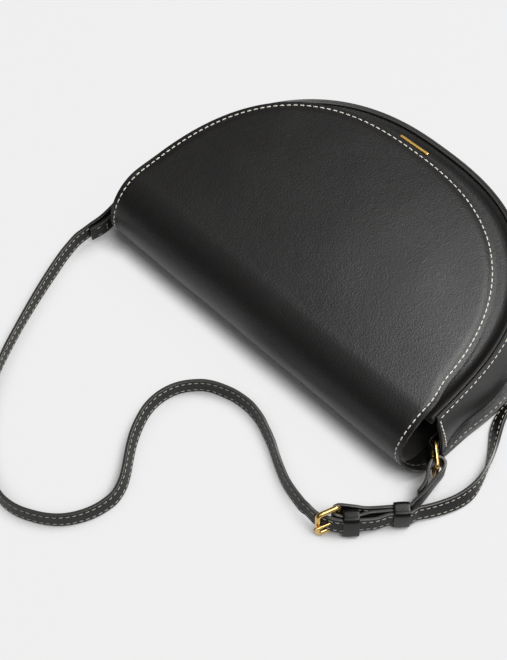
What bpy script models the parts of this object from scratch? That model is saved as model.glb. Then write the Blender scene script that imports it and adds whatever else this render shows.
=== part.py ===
"""Half moon bag in black leather: rolled back, flap, gusset and front, with rings, strap, buckle and keepers.

Metres, Z up, lying on its back on the table (z = 0). The roll that joins back and flap lies along X.
"""

import math

import bmesh
import bpy
import numpy as np
from mathutils import Vector

# Body
ROLL_Y = -0.070
ROLL_RADIUS = 0.027
ROLL_SPLIT_SHARE = 0.5
SPLIT_GAP = 0.0006
BACK_HALF = 0.1396
BACK_SHIFT = 0.0022
BACK_BELLY = 0.0065
BELLY_RUN = 0.060
BACK_PAST_FRONT = 0.0104
BACK_POWER = 2.8
SHOULDER_Y = 0.008
HIP_SHARES = (0.37, 0.62)
ROLL_PINCHES = (0.0018, 0.0)
RIGHT_FLARE = 0.0035
FLARE_RUN = 0.024
FLAP_NARROWER = 0.0150
FLAP_HALF = BACK_HALF - FLAP_NARROWER
FLAP_REACH = 0.1408
FLAP_POWER_RIGHT = 2.37
FLAP_POWER_LEFT = 2.52
FLAP_SHIFT = -0.0001
FLAP_CROWN = 0.0030
FLAP_DROOP = 0.0012
FLAP_DROOP_WIDTH = 0.0080
FLAP_DROOP_START = 0.0200
APEX_SHARE = 0.999
FRONT_NARROWER = 0.0106
FRONT_HALF = BACK_HALF - FRONT_NARROWER
FRONT_SHIFT = 0.0045
FRONT_PAST_FLAP = 0.0158
FRONT_REACH = FLAP_REACH + FRONT_PAST_FLAP
BACK_REACH = FRONT_REACH + BACK_PAST_FRONT
FRONT_POWER_RIGHT = 2.56
FRONT_POWER_LEFT = 2.33
FRONT_Z = 0.0440
FRONT_CROWN = 0.0035
RIM_TOP = 0.0490
RIM_FOLD = 0.0009
MOUTH_Y = -0.002
GUSSET_END_Y = 0.0005
GUSSET_END_SLANT = 0.0035
FLANGE_WIDTH = 0.0072
FLANGE_END_WIDTH = 0.0016
FLANGE_SETTLE = 0.025
WALL_BULGE = 0.0035
WALL_END_BULGE = 0.0020

# Layers
LEATHER = 0.0016
GUSSET_LEATHER = 0.0014
LINING = 0.0008
BOARD = 0.0010
FLAP_BOARD = 0.0006
GAP = 0.0003
BACK_BOARD_INSET = 0.014
LINING_INSET = 0.0120
FRONT_LINING_INSET = 0.0042
LINING_TOP = 0.0415
FLAP_BOARD_SHARE = 0.92
FLAP_BOARD_START = 0.008
FLAP_EDGE_RISE = 0.010

# Closure and front bar
SNAP_FROM_EDGE = 0.0228
SNAP_Y = FLAP_REACH - SNAP_FROM_EDGE
SNAP_RADIUS = 0.0080
SOCKET_HEIGHT = 0.0029
SOCKET_BORE = 0.0030
SOCKET_BORE_DEPTH = 0.0018
STUD_HEIGHT = 0.0018
STUD_NIB = 0.0022
STUD_NIB_HEIGHT = 0.0012
BAR_PAST_FLAP = 0.0060
BAR_CENTRE = (-0.0104, FLAP_REACH + BAR_PAST_FLAP)
BAR_TURN = 0.03
BAR_LENGTH = 0.0235
BAR_WIDTH = 0.0022
BAR_HEIGHT = 0.0012
BAR_EDGE = 0.0004
PIN_RADIUS = 0.0006
PIN_HOLE = 0.0009
PIN_DEPTH = 0.0013
PIN_SPREAD_SHARE = 0.36

# Rings and their tabs
RING_WIRE = 0.0015
RING_INSET_RIGHT = 0.0072
RING_INSET_LEFT = 0.0100
RING_SPAN_RIGHT = (0.0129, -0.0123)
RING_SPAN_LEFT = (-0.0046, -0.0166)
RING_INNER_RIGHT = (BACK_SHIFT + BACK_HALF - RING_INSET_RIGHT, -0.0697)
RING_INNER_LEFT = (BACK_SHIFT - BACK_HALF + RING_INSET_LEFT, -0.0640)
RING_OUTER_RIGHT = (RING_INNER_RIGHT[0] + RING_SPAN_RIGHT[0], RING_INNER_RIGHT[1] + RING_SPAN_RIGHT[1])
RING_OUTER_LEFT = (RING_INNER_LEFT[0] + RING_SPAN_LEFT[0], RING_INNER_LEFT[1] + RING_SPAN_LEFT[1])
RING_Z = 0.0136
RING_HEIGHT = 0.0160
RING_CORNER = 0.0024
TAB_WIDTH = 0.0110
TAB_THICK = 0.0011
TAB_LEG = 0.0185
TAB_CLEAR = 0.0016

# Strap, buckle and keepers
STRAP_WIDTH = 0.0120
STRAP_THICK = 0.0021
STRAP_STEP = 0.0070
STRAP_LIFT = 0.0001
TURN_STEP = 16.0
STACK_LEAN = 9.0
STACK_Z = 0.0080
BUCKLE_Z = 0.0095
BUCKLE_WIRE = 0.0015
BUCKLE_HEIGHT = 0.0164
BUCKLE_CORNER = 0.0023
BUCKLE_LEAN = 17.0
BAR_LEFT = (-0.0313, 0.1931)
BAR_RIGHT = (-0.0183, 0.1878)
PRONG_WIRE = 0.00085
PRONG_HOLE = 0.00145
PRONG_PAST = 0.0016
PRONG_EYE = 220.0
PRONG_TURNS = 14
SLOT_HEIGHT = 0.0034
SLOT_SIDE = 0.0112
TRAVEL = (0.6923, 0.7216)
KEEPER_THICK = 0.0011
KEEPER_CORNER = 0.0004
KEEPER_HEIGHT = 0.0137
FIXED_FROM = -0.0159
FIXED_TO = -0.0062
FIXED_Z = 0.0084
FIXED_HEIGHT = 0.0150
FIXED_LEAN = 15.0
FIXED_BACK = 0.1889
FIXED_FRONT = 0.1959
SLIDING_FROM = 0.0149
SLIDING_TO = 0.0247
SLIDING_BACK = 0.1840
SLIDING_FRONT = 0.1917

# Route of the long strap: x and y of its middle line from the ring's inner limb, height, lean in degrees.
# It starts at its folded end by the left ring; its further part is set out from the right ring.
STRAP_FROM_LEFT = (
    (-0.0064, -0.0428, 0.0094, 3.0), (-0.0054, -0.0398, 0.0101, 3.0), (-0.0038, -0.0354, 0.0111, 3.0),
    (-0.0029, -0.0310, 0.0121, 2.0), (-0.0026, -0.0265, 0.0131, 1.0), (-0.0024, -0.0222, 0.0136, 0.0),
    (-0.0017, -0.0175, 0.0136, 0.0), (-0.0023, -0.0143, 0.0136, 0.0), (-0.0046, -0.0131, 0.0136, 0.0),
    (-0.0071, -0.0142, 0.0136, 0.0), (-0.0079, -0.0172, 0.0136, 0.0), (-0.0073, -0.0240, 0.0131, -1.0),
    (-0.0076, -0.0318, 0.0116, -2.0), (-0.0090, -0.0391, 0.0101, -3.0), (-0.0102, -0.0453, 0.0086, -3.0),
    (-0.0110, -0.0510, 0.0077, -4.0), (-0.0106, -0.0565, 0.0070, -4.0), (-0.0087, -0.0664, 0.0064, -6.0),
    (-0.0056, -0.0772, 0.0062, -7.0), (-0.0022, -0.0880, 0.0062, -6.0), (0.0014, -0.0987, 0.0062, -4.0),
    (0.0052, -0.1093, 0.0062, -2.0), (0.0092, -0.1198, 0.0062, 0.0), (0.0133, -0.1300, 0.0062, 0.0),
    (0.0176, -0.1402, 0.0062, 0.0), (0.0228, -0.1510, 0.0062, 2.0), (0.0296, -0.1628, 0.0062, 4.0),
    (0.0386, -0.1756, 0.0062, 6.0), (0.0498, -0.1880, 0.0062, 7.0), (0.0626, -0.1988, 0.0062, 8.0),
    (0.0769, -0.2069, 0.0062, 8.0),
)
STRAP_FROM_RIGHT = (
    (-0.1703, -0.2055, 0.0061, 8.0), (-0.1611, -0.2055, 0.0061, 8.0), (-0.1539, -0.2037, 0.0061, 8.0),
    (-0.1478, -0.2010, 0.0061, 8.0), (-0.1421, -0.1979, 0.0061, 8.0), (-0.1370, -0.1944, 0.0061, 8.0),
    (-0.1324, -0.1903, 0.0061, 8.0), (-0.1285, -0.1856, 0.0061, 8.0), (-0.1252, -0.1803, 0.0061, 8.0),
    (-0.1224, -0.1744, 0.0061, 9.0), (-0.1204, -0.1677, 0.0061, 10.0), (-0.1194, -0.1600, 0.0061, 12.0),
    (-0.1200, -0.1548, 0.0062, 13.0), (-0.1225, -0.1478, 0.0062, 15.0), (-0.1265, -0.1412, 0.0062, 16.0),
    (-0.1306, -0.1356, 0.0062, 16.0), (-0.1358, -0.1285, 0.0062, 16.0), (-0.1406, -0.1209, 0.0062, 16.0),
    (-0.1449, -0.1119, 0.0062, 14.0), (-0.1480, -0.1024, 0.0061, 12.0), (-0.1488, -0.0934, 0.0061, 9.0),
    (-0.1478, -0.0859, 0.0061, 7.0), (-0.1457, -0.0794, 0.0061, 5.0), (-0.1425, -0.0738, 0.0061, 4.0),
    (-0.1385, -0.0689, 0.0061, 4.0), (-0.1340, -0.0646, 0.0061, 4.0), (-0.1284, -0.0614, 0.0061, 6.0),
    (-0.1222, -0.0590, 0.0061, 8.0), (-0.1154, -0.0570, 0.0061, 9.0), (-0.1084, -0.0561, 0.0061, 10.0),
    (-0.1022, -0.0560, 0.0062, 11.0), (-0.0959, -0.0570, 0.0062, 11.0), (-0.0899, -0.0586, 0.0062, 11.0),
    (-0.0842, -0.0610, 0.0062, 11.0), (-0.0784, -0.0635, 0.0062, 11.0), (-0.0729, -0.0663, 0.0062, 11.0),
    (-0.0675, -0.0695, 0.0062, 10.0), (-0.0620, -0.0726, 0.0063, 10.0), (-0.0563, -0.0756, 0.0066, 10.0),
    (-0.0504, -0.0784, 0.0070, 10.0), (-0.0443, -0.0804, 0.0075, 10.0), (-0.0382, -0.0820, 0.0080, 11.0),
    (-0.0321, -0.0833, 0.0085, 12.0),
)
# Through buckle and keepers: distance along the layers, distance to their right, height, lean.
# The layers' own zero lies this far from the right ring's inner limb.
STACK_FROM_RING = (-0.1346, 0.0697)
STRAP_THROUGH = (
    (-0.0368, 0.1826, 0.0090, 13.0), (-0.0335, 0.1869, 0.0092, 14.0), (-0.0308, 0.1893, 0.0093, 14.0),
    (-0.0275, 0.1908, 0.0093, 14.0), (-0.0240, 0.1923, 0.0093, 14.0), (-0.0210, 0.1935, 0.0093, 14.0),
    (-0.0180, 0.1941, 0.0092, 14.0), (-0.0150, 0.1942, 0.0089, 13.0), (-0.0110, 0.1941, 0.0086, 12.0),
    (-0.0065, 0.1938, 0.0083, 11.0), (-0.0020, 0.1934, 0.0081, 9.0), (0.0030, 0.1931, 0.0080, 9.0),
    (0.0075, 0.1920, 0.0080, 9.0), (0.0115, 0.1907, 0.0080, 9.0), (0.0145, 0.1905, 0.0080, 9.0),
    (0.0200, 0.1903, 0.0080, 9.0), (0.0250, 0.1902, 0.0079, 10.0),
)
STRAP_TAIL = (
    (0.0213, -0.0385, 0.0075, 14.0), (0.0247, -0.0332, 0.0072, 17.0), (0.0279, -0.0278, 0.0069, 19.0),
    (0.0308, -0.0220, 0.0065, 21.0), (0.0333, -0.0159, 0.0062, 22.0), (0.0351, -0.0092, 0.0062, 22.0),
    (0.0356, -0.0025, 0.0062, 17.0), (0.0349, 0.0040, 0.0062, 9.0), (0.0335, 0.0105, 0.0062, 2.0),
    (0.0315, 0.0168, 0.0062, -5.0), (0.0289, 0.0227, 0.0062, -12.0), (0.0259, 0.0284, 0.0062, -19.0),
    (0.0228, 0.0339, 0.0061, -25.0), (0.0197, 0.0394, 0.0059, -30.0), (0.0172, 0.0451, 0.0058, -32.0),
    (0.0156, 0.0512, 0.0058, -32.0), (0.0150, 0.0587, 0.0058, -30.0), (0.0151, 0.0667, 0.0060, -26.0),
    (0.0157, 0.0747, 0.0061, -20.0), (0.0169, 0.0847, 0.0062, -14.0), (0.0187, 0.0947, 0.0062, -10.0),
)

# Route of the buckle strap, from its end in the sliding keeper, round the buckle, to its end by the ring
BUCKLE_THROUGH = (
    (0.0225, 0.1879, 0.0080, 9.0), (0.0180, 0.1879, 0.0080, 9.0), (0.0135, 0.1880, 0.0080, 9.0),
    (0.0090, 0.1883, 0.0080, 9.0), (0.0040, 0.1886, 0.0080, 9.0), (0.0000, 0.1889, 0.0081, 9.0),
    (-0.0040, 0.1900, 0.0082, 10.0), (-0.0075, 0.1910, 0.0084, 11.0), (-0.0110, 0.1914, 0.0086, 12.0),
    (-0.0150, 0.1915, 0.0089, 13.0), (-0.0183, 0.1913, 0.0092, 14.0), (-0.0208, 0.1902, 0.0093, 14.0),
    (-0.0220, 0.1878, 0.0093, 14.0), (-0.0210, 0.1853, 0.0093, 14.0), (-0.0185, 0.1840, 0.0092, 14.0),
    (-0.0150, 0.1841, 0.0090, 13.0), (-0.0110, 0.1845, 0.0087, 11.0), (-0.0070, 0.1850, 0.0084, 10.0),
    (-0.0030, 0.1857, 0.0081, 9.0), (0.0010, 0.1859, 0.0080, 9.0), (0.0070, 0.1858, 0.0080, 9.0),
    (0.0120, 0.1856, 0.0080, 9.0), (0.0160, 0.1855, 0.0080, 9.0), (0.0205, 0.1855, 0.0080, 9.0),
    (0.0248, 0.1853, 0.0080, 9.0),
)
BUCKLE_END = (
    (0.0167, -0.0356, 0.0086, 8.0), (0.0170, -0.0315, 0.0095, 6.0), (0.0170, -0.0278, 0.0103, 4.0),
    (0.0168, -0.0238, 0.0111, 3.0), (0.0165, -0.0198, 0.0118, 2.0), (0.0163, -0.0158, 0.0126, 1.0),
    (0.0163, -0.0118, 0.0132, 0.0), (0.0156, -0.0081, 0.0136, 0.0), (0.0135, -0.0054, 0.0136, 0.0),
    (0.0106, -0.0048, 0.0136, 0.0), (0.0080, -0.0065, 0.0136, 0.0), (0.0072, -0.0096, 0.0136, 0.0),
    (0.0080, -0.0132, 0.0135, 0.0), (0.0099, -0.0167, 0.0130, -1.0), (0.0119, -0.0198, 0.0121, -2.0),
    (0.0133, -0.0232, 0.0113, -3.0), (0.0141, -0.0268, 0.0105, -4.0), (0.0144, -0.0303, 0.0097, -6.0),
)


def clear_scene():
    for obj in list(bpy.data.objects):
        bpy.data.objects.remove(obj, do_unlink=True)
    for name, hidden in (("half_moon_bag", False), ("cutters", True)):
        group = bpy.data.collections.new(name)
        group.hide_render = hidden
        bpy.context.scene.collection.children.link(group)


def material(name, colour, metallic, roughness):
    made = bpy.data.materials.new(name)
    made.use_nodes = True
    shader = made.node_tree.nodes["Principled BSDF"]
    shader.inputs["Base Color"].default_value = (*colour, 1.0)
    shader.inputs["Metallic"].default_value = metallic
    shader.inputs["Roughness"].default_value = roughness
    return made


LOOKS = {
    "leather": ((0.016, 0.015, 0.014), 0.0, 0.45),
    "lining": ((0.030, 0.028, 0.026), 0.0, 0.85),
    "board": ((0.30, 0.22, 0.15), 0.0, 0.90),
    "gold": ((0.82, 0.60, 0.24), 1.0, 0.22),
    "steel": ((0.55, 0.55, 0.53), 1.0, 0.35),
}


def finish(obj, look):
    """Put a piece in the bag's collection with a material of its own."""
    obj.data.materials.clear()
    obj.data.materials.append(material(obj.name, *LOOKS[look]))
    bpy.data.collections["half_moon_bag"].objects.link(obj)
    return obj


def object_from(name, points, faces):
    mesh = bpy.data.meshes.new(name)
    mesh.from_pydata([tuple(p) for p in points], [], faces)
    mesh.shade_smooth()
    return bpy.data.objects.new(name, mesh)


def sheet(name, rows, thickness, look, wrap=False, side=-1.0):
    """An open surface through rows of points, given its thickness behind its face (side -1) or both ways (0)."""
    count = len(rows[0])
    points = [p for row in rows for p in row]
    faces = []
    for i in range(len(rows) - 1):
        for j in range(count if wrap else count - 1):
            k = (j + 1) % count
            faces.append((i * count + j, i * count + k, (i + 1) * count + k, (i + 1) * count + j))
    obj = object_from(name, points, faces)
    solid = obj.modifiers.new("thickness", "SOLIDIFY")
    solid.thickness = thickness
    solid.offset = side
    solid.use_even_offset = True
    return finish(obj, look)


def tube(name, points, radius, look, closed):
    """A round wire along a line of points."""
    curve = bpy.data.curves.new(name, "CURVE")
    curve.dimensions = "3D"
    line = curve.splines.new("POLY")
    line.points.add(len(points) - 1)
    for slot, p in zip(line.points, points):
        slot.co = (*p, 1.0)
    line.use_cyclic_u = closed
    curve.bevel_depth = radius
    curve.bevel_resolution = 2
    curve.use_fill_caps = not closed
    return finish(bpy.data.objects.new(name, curve), look)


def cutter_tube(name, start, end, radius, sides=16):
    """A round rod between two points that a Boolean takes away."""
    axis = Vector(end) - Vector(start)
    mesh = bpy.data.meshes.new(name)
    shape = bmesh.new()
    bmesh.ops.create_cone(
        shape, cap_ends=True, segments=sides, radius1=radius, radius2=radius, depth=axis.length
    )
    shape.to_mesh(mesh)
    shape.free()
    obj = bpy.data.objects.new(name, mesh)
    obj.rotation_mode = "QUATERNION"
    obj.rotation_quaternion = axis.to_track_quat("Z", "Y")
    obj.location = (Vector(end) + Vector(start)) / 2
    obj.display_type = "WIRE"
    obj.hide_render = True
    bpy.data.collections["cutters"].objects.link(obj)
    return obj


def cut(obj, cutter):
    away = obj.modifiers.new("cut", "BOOLEAN")
    away.operation = "DIFFERENCE"
    away.solver = "EXACT"
    away.object = cutter


def smooth(t):
    t = min(max(t, 0.0), 1.0)
    return t * t * (3 - 2 * t)


# Back and flap: rows of points across the bag, from one end of the sheet to the other


def belly(reach):
    """How much wider than at the roll the back is at this distance in front of the roll's line."""
    return BACK_BELLY * smooth((reach - SHOULDER_Y) / BELLY_RUN)


def back_half(reach, inset):
    """Half the width of the back at this distance in front of the roll's line."""
    half = BACK_HALF + belly(reach) - inset
    if reach <= SHOULDER_Y:
        return half
    share = (reach - SHOULDER_Y) / (BACK_REACH - SHOULDER_Y - inset)
    return half * (1 - min(share, 1.0) ** BACK_POWER) ** (1 / BACK_POWER)


def flare(x, reach):
    """How much further out than its half width the flap's right side is, near the roll."""
    return RIGHT_FLARE * (1 - smooth(reach / FLARE_RUN)) if x > 0 else 0.0


def flap_halves(reach, share):
    """The flap's two half widths at this distance in front of the roll's line, left then right."""
    along = min(reach / (share * FLAP_REACH), 1.0)
    left = FLAP_HALF * (1 - along**FLAP_POWER_LEFT) ** (1 / FLAP_POWER_LEFT)
    right = (FLAP_HALF + flare(1, reach)) * (1 - along**FLAP_POWER_RIGHT) ** (1 / FLAP_POWER_RIGHT)
    return [share * left, share * right]


def roll_halves(turn_share):
    """The two half widths round the roll, left then right: each narrows from the back's to the flap's."""
    pinched = smooth(turn_share / ROLL_SPLIT_SHARE) * smooth((1 - turn_share) / ROLL_SPLIT_SHARE)
    halves = []
    for side, hip, pinch in zip((-1, 1), HIP_SHARES, ROLL_PINCHES):
        narrower = BACK_HALF - FLAP_HALF - flare(side, 0.0)
        halves.append(BACK_HALF - narrower * smooth(turn_share / hip) - pinch * pinched)
    return halves


def roll_shift(turn_share):
    """How far right the middle line lies, from the back's end of the roll to the flap's."""
    return BACK_SHIFT + (FLAP_SHIFT - BACK_SHIFT) * smooth(turn_share / ROLL_SPLIT_SHARE)


def roll_point(turn_share, depth):
    """Distance from the roll's line and height, this deep under the outer face."""
    angle = math.pi * turn_share
    radius = ROLL_RADIUS - depth
    return -radius * math.sin(angle), ROLL_RADIUS - radius * math.cos(angle)


def across(halves, shift, y, height, columns):
    """One row of points from the left half's end to the right half's: closer together towards its two ends."""
    row = []
    for j in range(columns + 1):
        share = math.sin(math.pi * (j / columns - 0.5))
        x = shift + halves[share > 0] * share
        row.append((x, ROLL_Y + y, height(x, y)))
    return row


def flap_height(x, y):
    """Height of the flap's outer face over the table."""
    along = 4 * (y / FLAP_REACH) * (1 - y / FLAP_REACH)
    sideways = 1 - ((x - FLAP_SHIFT) / FLAP_HALF) ** 2
    crown = FLAP_CROWN * max(along, 0.0) * max(sideways, 0.0)
    droop = FLAP_DROOP * (1 - smooth(flap_edge(x, y) / FLAP_DROOP_WIDTH)) * smooth(y / FLAP_DROOP_START)
    return 2 * ROLL_RADIUS + crown - droop


def flap_edge(x, y):
    """How far inside the flap's edge this point lies, as a length."""
    x -= FLAP_SHIFT
    power = FLAP_POWER_RIGHT if x > 0 else FLAP_POWER_LEFT
    reached = abs(x / (FLAP_HALF + flare(x, y))) ** power + max(y / FLAP_REACH, 0.0) ** power
    return (1 - reached ** (1 / power)) * FLAP_HALF


def back_rows(depth, columns, flat_rows, roll_rows, half_limit, flat_depth):
    """Rows from the back's far end to the hinge line on the roll; depth grows to flat_depth on the flat."""
    rows = []
    inset = BACK_HALF - half_limit
    far = SHOULDER_Y + (BACK_REACH - SHOULDER_Y - inset) * APEX_SHARE
    for i in range(flat_rows):
        y = far * math.cos(math.pi * i / (2 * flat_rows))
        rows.append(across([back_half(y, inset)] * 2, BACK_SHIFT, y, lambda x, y: flat_depth, columns))
    for i in range(roll_rows + 1):
        share = ROLL_SPLIT_SHARE * i / roll_rows
        deep = flat_depth + (depth - flat_depth) * smooth(share / HIP_SHARES[0])
        y, z = roll_point(share, deep)
        if i == roll_rows:
            z -= SPLIT_GAP / 2
        halves = [min(half, half_limit) for half in roll_halves(share)]
        rows.append(across(halves, roll_shift(share), y, lambda x, y: z, columns))
    return rows


def flap_rows(depth, columns, flat_rows, roll_rows, mid_depth):
    """Rows from the hinge line on the roll to the flap's far end; the sheet dips to mid_depth in its middle."""
    rows = []
    for i in range(roll_rows):
        share = ROLL_SPLIT_SHARE + (1 - ROLL_SPLIT_SHARE) * i / roll_rows
        deep = depth + (mid_depth - depth) * smooth(2 * share - 1)
        y, z = roll_point(share, depth)
        if i == 0:
            z += SPLIT_GAP / 2
        row = []
        for x, far_y, z in across(roll_halves(share), roll_shift(share), y, lambda x, y: z, columns):
            inner = smooth(flap_edge(x, 0.0) / FLAP_EDGE_RISE)
            y, low = roll_point(share, depth + (deep - depth) * inner)
            row.append((x, ROLL_Y + y, low + (z - roll_point(share, depth)[1])))
        rows.append(row)
    for i in range(flat_rows + 1):
        y = FLAP_REACH * APEX_SHARE * math.sin(math.pi * i / (2 * flat_rows))

        def height(x, y):
            inner = smooth(flap_edge(x, y) / FLAP_EDGE_RISE)
            return flap_height(x, y) - depth - (mid_depth - depth) * inner

        rows.append(across(flap_halves(y, 1.0), FLAP_SHIFT, y, height, columns))
    return rows


def flipped(rows):
    return [list(reversed(row)) for row in rows]


def build_back():
    sheet("back_panel", back_rows(0.0, 16, 11, 8, BACK_HALF, 0.0), LEATHER, "leather")
    lining_flat = LEATHER + GAP + BOARD + GAP
    lining_half = BACK_HALF - LINING_INSET
    rows = back_rows(LEATHER + GAP, 14, 9, 7, lining_half, lining_flat)
    sheet("back_lining", rows, LINING, "lining")
    inset = BACK_BOARD_INSET
    far = SHOULDER_Y + (BACK_REACH - SHOULDER_Y - inset) * APEX_SHARE
    rows = []
    for i in range(10):
        y = SHOULDER_Y + (far - SHOULDER_Y) * math.cos(math.pi * i / 18)
        rows.append(across([back_half(y, inset)] * 2, BACK_SHIFT, y, lambda x, y: LEATHER + GAP, 8))
    sheet("back_board", rows, BOARD, "board")


def build_flap():
    sheet("flap_panel", flap_rows(0.0, 18, 13, 7, 0.0), LEATHER, "leather")
    rows = flap_rows(LEATHER + GAP, 18, 12, 6, LEATHER + GAP + FLAP_BOARD + GAP)
    sheet("flap_lining", rows, LINING, "lining")
    rows = []
    far = FLAP_REACH * FLAP_BOARD_SHARE * APEX_SHARE
    for i in range(12):
        y = FLAP_BOARD_START + (far - FLAP_BOARD_START) * math.sin(math.pi * i / 22)
        halves = flap_halves(y, FLAP_BOARD_SHARE)
        rows.append(across(halves, FLAP_SHIFT, y, lambda x, y: flap_height(x, y) - LEATHER - GAP, 12))
    sheet("flap_board", rows, FLAP_BOARD, "board")


# Gusset and front: stations along the U, from the right end round the far side to the left end


def superellipse(turn, half, shift, reach, power, wider=lambda y: 0.0):
    c, s = math.cos(turn), math.sin(turn)
    y = SHOULDER_Y + (reach - SHOULDER_Y) * abs(s) ** (2 / power)
    x = shift + math.copysign(abs(c) ** (2 / power), c) * (half + wider(y))
    return x, y


def stations(count, end_y):
    """Along the U: foot on the back, top at the rim, and the outward direction in plan."""
    turns = [math.pi * (0.5 - 0.5 * math.cos(math.pi * i / (count - 1))) for i in range(count)]
    middle = [(t, SHOULDER_Y) for t in turns]
    ends = [(0.0, end_y + (SHOULDER_Y - end_y) * i / 2) for i in range(2)]
    lefts = [(math.pi, y) for _, y in reversed(ends)]
    found = []
    for turn, low in ends + middle + lefts:
        power = FRONT_POWER_RIGHT if turn < math.pi / 2 else FRONT_POWER_LEFT
        top = superellipse(turn, FRONT_HALF, FRONT_SHIFT, FRONT_REACH, power)
        edge = superellipse(turn, BACK_HALF, BACK_SHIFT, BACK_REACH, BACK_POWER, belly)
        if turn in (0.0, math.pi):
            top = (top[0], low)
            edge = (edge[0], low)
        found.append((top, edge))
    return found


def outward(line):
    """Unit directions in plan, square to a line of points and away from the bag."""
    points = np.array(line)
    along = np.gradient(points, axis=0)
    along /= np.linalg.norm(along, axis=1)[:, None]
    return np.stack([along[:, 1], -along[:, 0]], axis=1)


class Wall:
    """The gusset's outer face over the U, as a point for each station and height."""

    def __init__(self, count, end_y):
        line = stations(count, end_y)
        self.top = np.array([top for top, _ in line])
        self.edge = np.array([edge for _, edge in line])
        self.out = outward(self.top)
        settle = [smooth((y - GUSSET_END_Y) / FLANGE_SETTLE) for _, y in self.top]
        width = [FLANGE_END_WIDTH + (FLANGE_WIDTH - FLANGE_END_WIDTH) * s for s in settle]
        self.bulge = [WALL_END_BULGE + (WALL_BULGE - WALL_END_BULGE) * s for s in settle]
        self.foot = self.edge - outward(self.edge) * np.array(width)[:, None]
        self.low = LEATHER + GAP + GUSSET_LEATHER + GAP

    def at(self, i, z, inset):
        share = (z - self.low) / (RIM_TOP - self.low)
        plan = self.foot[i] + (self.top[i] - self.foot[i]) * share
        plan = plan + self.out[i] * (self.bulge[i] * math.sin(math.pi * min(max(share, 0.0), 1.0)) - inset)
        return plan

    def point(self, i, z, inset):
        x, y = self.at(i, z, inset)
        return (x, ROLL_Y + y, z)


FLANGE_SHARES = (0.0, 0.6, 0.9)
WALL_SHARES = (0.02, 0.08, 0.20, 0.38, 0.56, 0.74, 0.89, 1.0)


def build_gusset():
    wall = Wall(29, GUSSET_END_Y)
    rows = []
    for i in range(len(wall.top)):
        row = []
        for share in FLANGE_SHARES:
            x, y = wall.edge[i] + (wall.foot[i] - wall.edge[i]) * share
            row.append((x, ROLL_Y + y, wall.low))
        for share in WALL_SHARES:
            z = wall.low + (RIM_TOP - wall.low) * share
            row.append(wall.point(i, z, 0.0))
        rows.append(row)
    last = len(rows) - 1
    for i in (0, last):
        rows[i] = [
            (x, y + GUSSET_END_SLANT * smooth((RIM_TOP - z) / RIM_TOP), z) for x, y, z in rows[i]
        ]
    sheet("gusset", flipped(rows), GUSSET_LEATHER, "leather")
    rows = []
    inner = GUSSET_LEATHER + GAP
    base = wall.low
    for i in range(len(wall.top)):
        row = []
        for share in WALL_SHARES:
            z = base + (LINING_TOP - base) * share
            row.append(wall.point(i, z, inner))
        rows.append(row)
    for i in (0, last):
        rows[i] = [
            (x, y + GUSSET_END_SLANT * smooth((RIM_TOP - z) / RIM_TOP), z) for x, y, z in rows[i]
        ]
    sheet("gusset_lining", flipped(rows), LINING, "lining")


def front_height(x, y):
    share = min(max((y - MOUTH_Y) / (FRONT_REACH - MOUTH_Y), 0.0), 1.0)
    return FRONT_Z + FRONT_CROWN * (1 - share**2) * max(1 - ((x - FRONT_SHIFT) / FRONT_HALF) ** 2, 0.0)


RING_SHARES = (1.0, 0.97, 0.90, 0.77, 0.58, 0.32)


def panel_rings(wall, inset, z, drop):
    """Rings of points that shrink from the panel's fold line to the middle of its mouth."""
    fold = [wall.at(i, z, inset) for i in range(len(wall.top))]
    rings = []
    for share in RING_SHARES:
        ring = []
        for x, y in fold:
            px = FRONT_SHIFT + (x - FRONT_SHIFT) * share
            py = MOUTH_Y + (y - MOUTH_Y) * share
            ring.append((px, ROLL_Y + py, front_height(px, py) - drop))
        rings.append(ring)
    return rings


def capped_sheet(name, rings, thickness, look, side):
    """A sheet of rings whose last ring closes on one point at the middle of the mouth."""
    count = len(rings[0])
    points = [p for ring in rings for p in ring]
    faces = []
    for i in range(len(rings) - 1):
        for j in range(count - 1):
            faces.append((i * count + j, i * count + j + 1, (i + 1) * count + j + 1, (i + 1) * count + j))
    first, last = rings[-1][0], rings[-1][-1]
    points.append(tuple((a + b) / 2 for a, b in zip(first, last)))
    tip = len(points) - 1
    base = (len(rings) - 1) * count
    faces += [(base + j, base + j + 1, tip) for j in range(count - 1)]
    obj = object_from(name, points, faces)
    solid = obj.modifiers.new("thickness", "SOLIDIFY")
    solid.thickness = thickness
    solid.offset = side
    solid.use_even_offset = True
    return finish(obj, look)


def build_front():
    wall = Wall(29, MOUTH_Y)
    inset = GUSSET_LEATHER + GAP + LEATHER
    rim = [
        [wall.point(i, z, inset + GAP) for i in range(len(wall.top))]
        for z in (RIM_TOP, (RIM_TOP + FRONT_Z) / 2, FRONT_Z + RIM_FOLD)
    ]
    rings = rim + panel_rings(wall, inset + GAP + RIM_FOLD, FRONT_Z, 0.0)
    panel = capped_sheet("front_panel", rings, LEATHER, "leather", -1.0)
    for x, y in pin_places():
        z = front_height(x, y)
        reach = BAR_HEIGHT + LEATHER + LEATHER
        hole = cutter_tube("bar_pin_hole", (x, ROLL_Y + y, z - reach), (x, ROLL_Y + y, z + reach), PIN_HOLE)
        cut(panel, hole)
    rings = panel_rings(wall, FRONT_LINING_INSET, LINING_TOP, LEATHER + GAP)
    capped_sheet("front_lining", rings, LINING, "lining", -1.0)


def pin_places():
    x, y = BAR_CENTRE
    step = BAR_LENGTH * PIN_SPREAD_SHARE
    return [(x + side * step * math.cos(BAR_TURN), y + side * step * math.sin(BAR_TURN)) for side in (-1, 1)]


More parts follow.
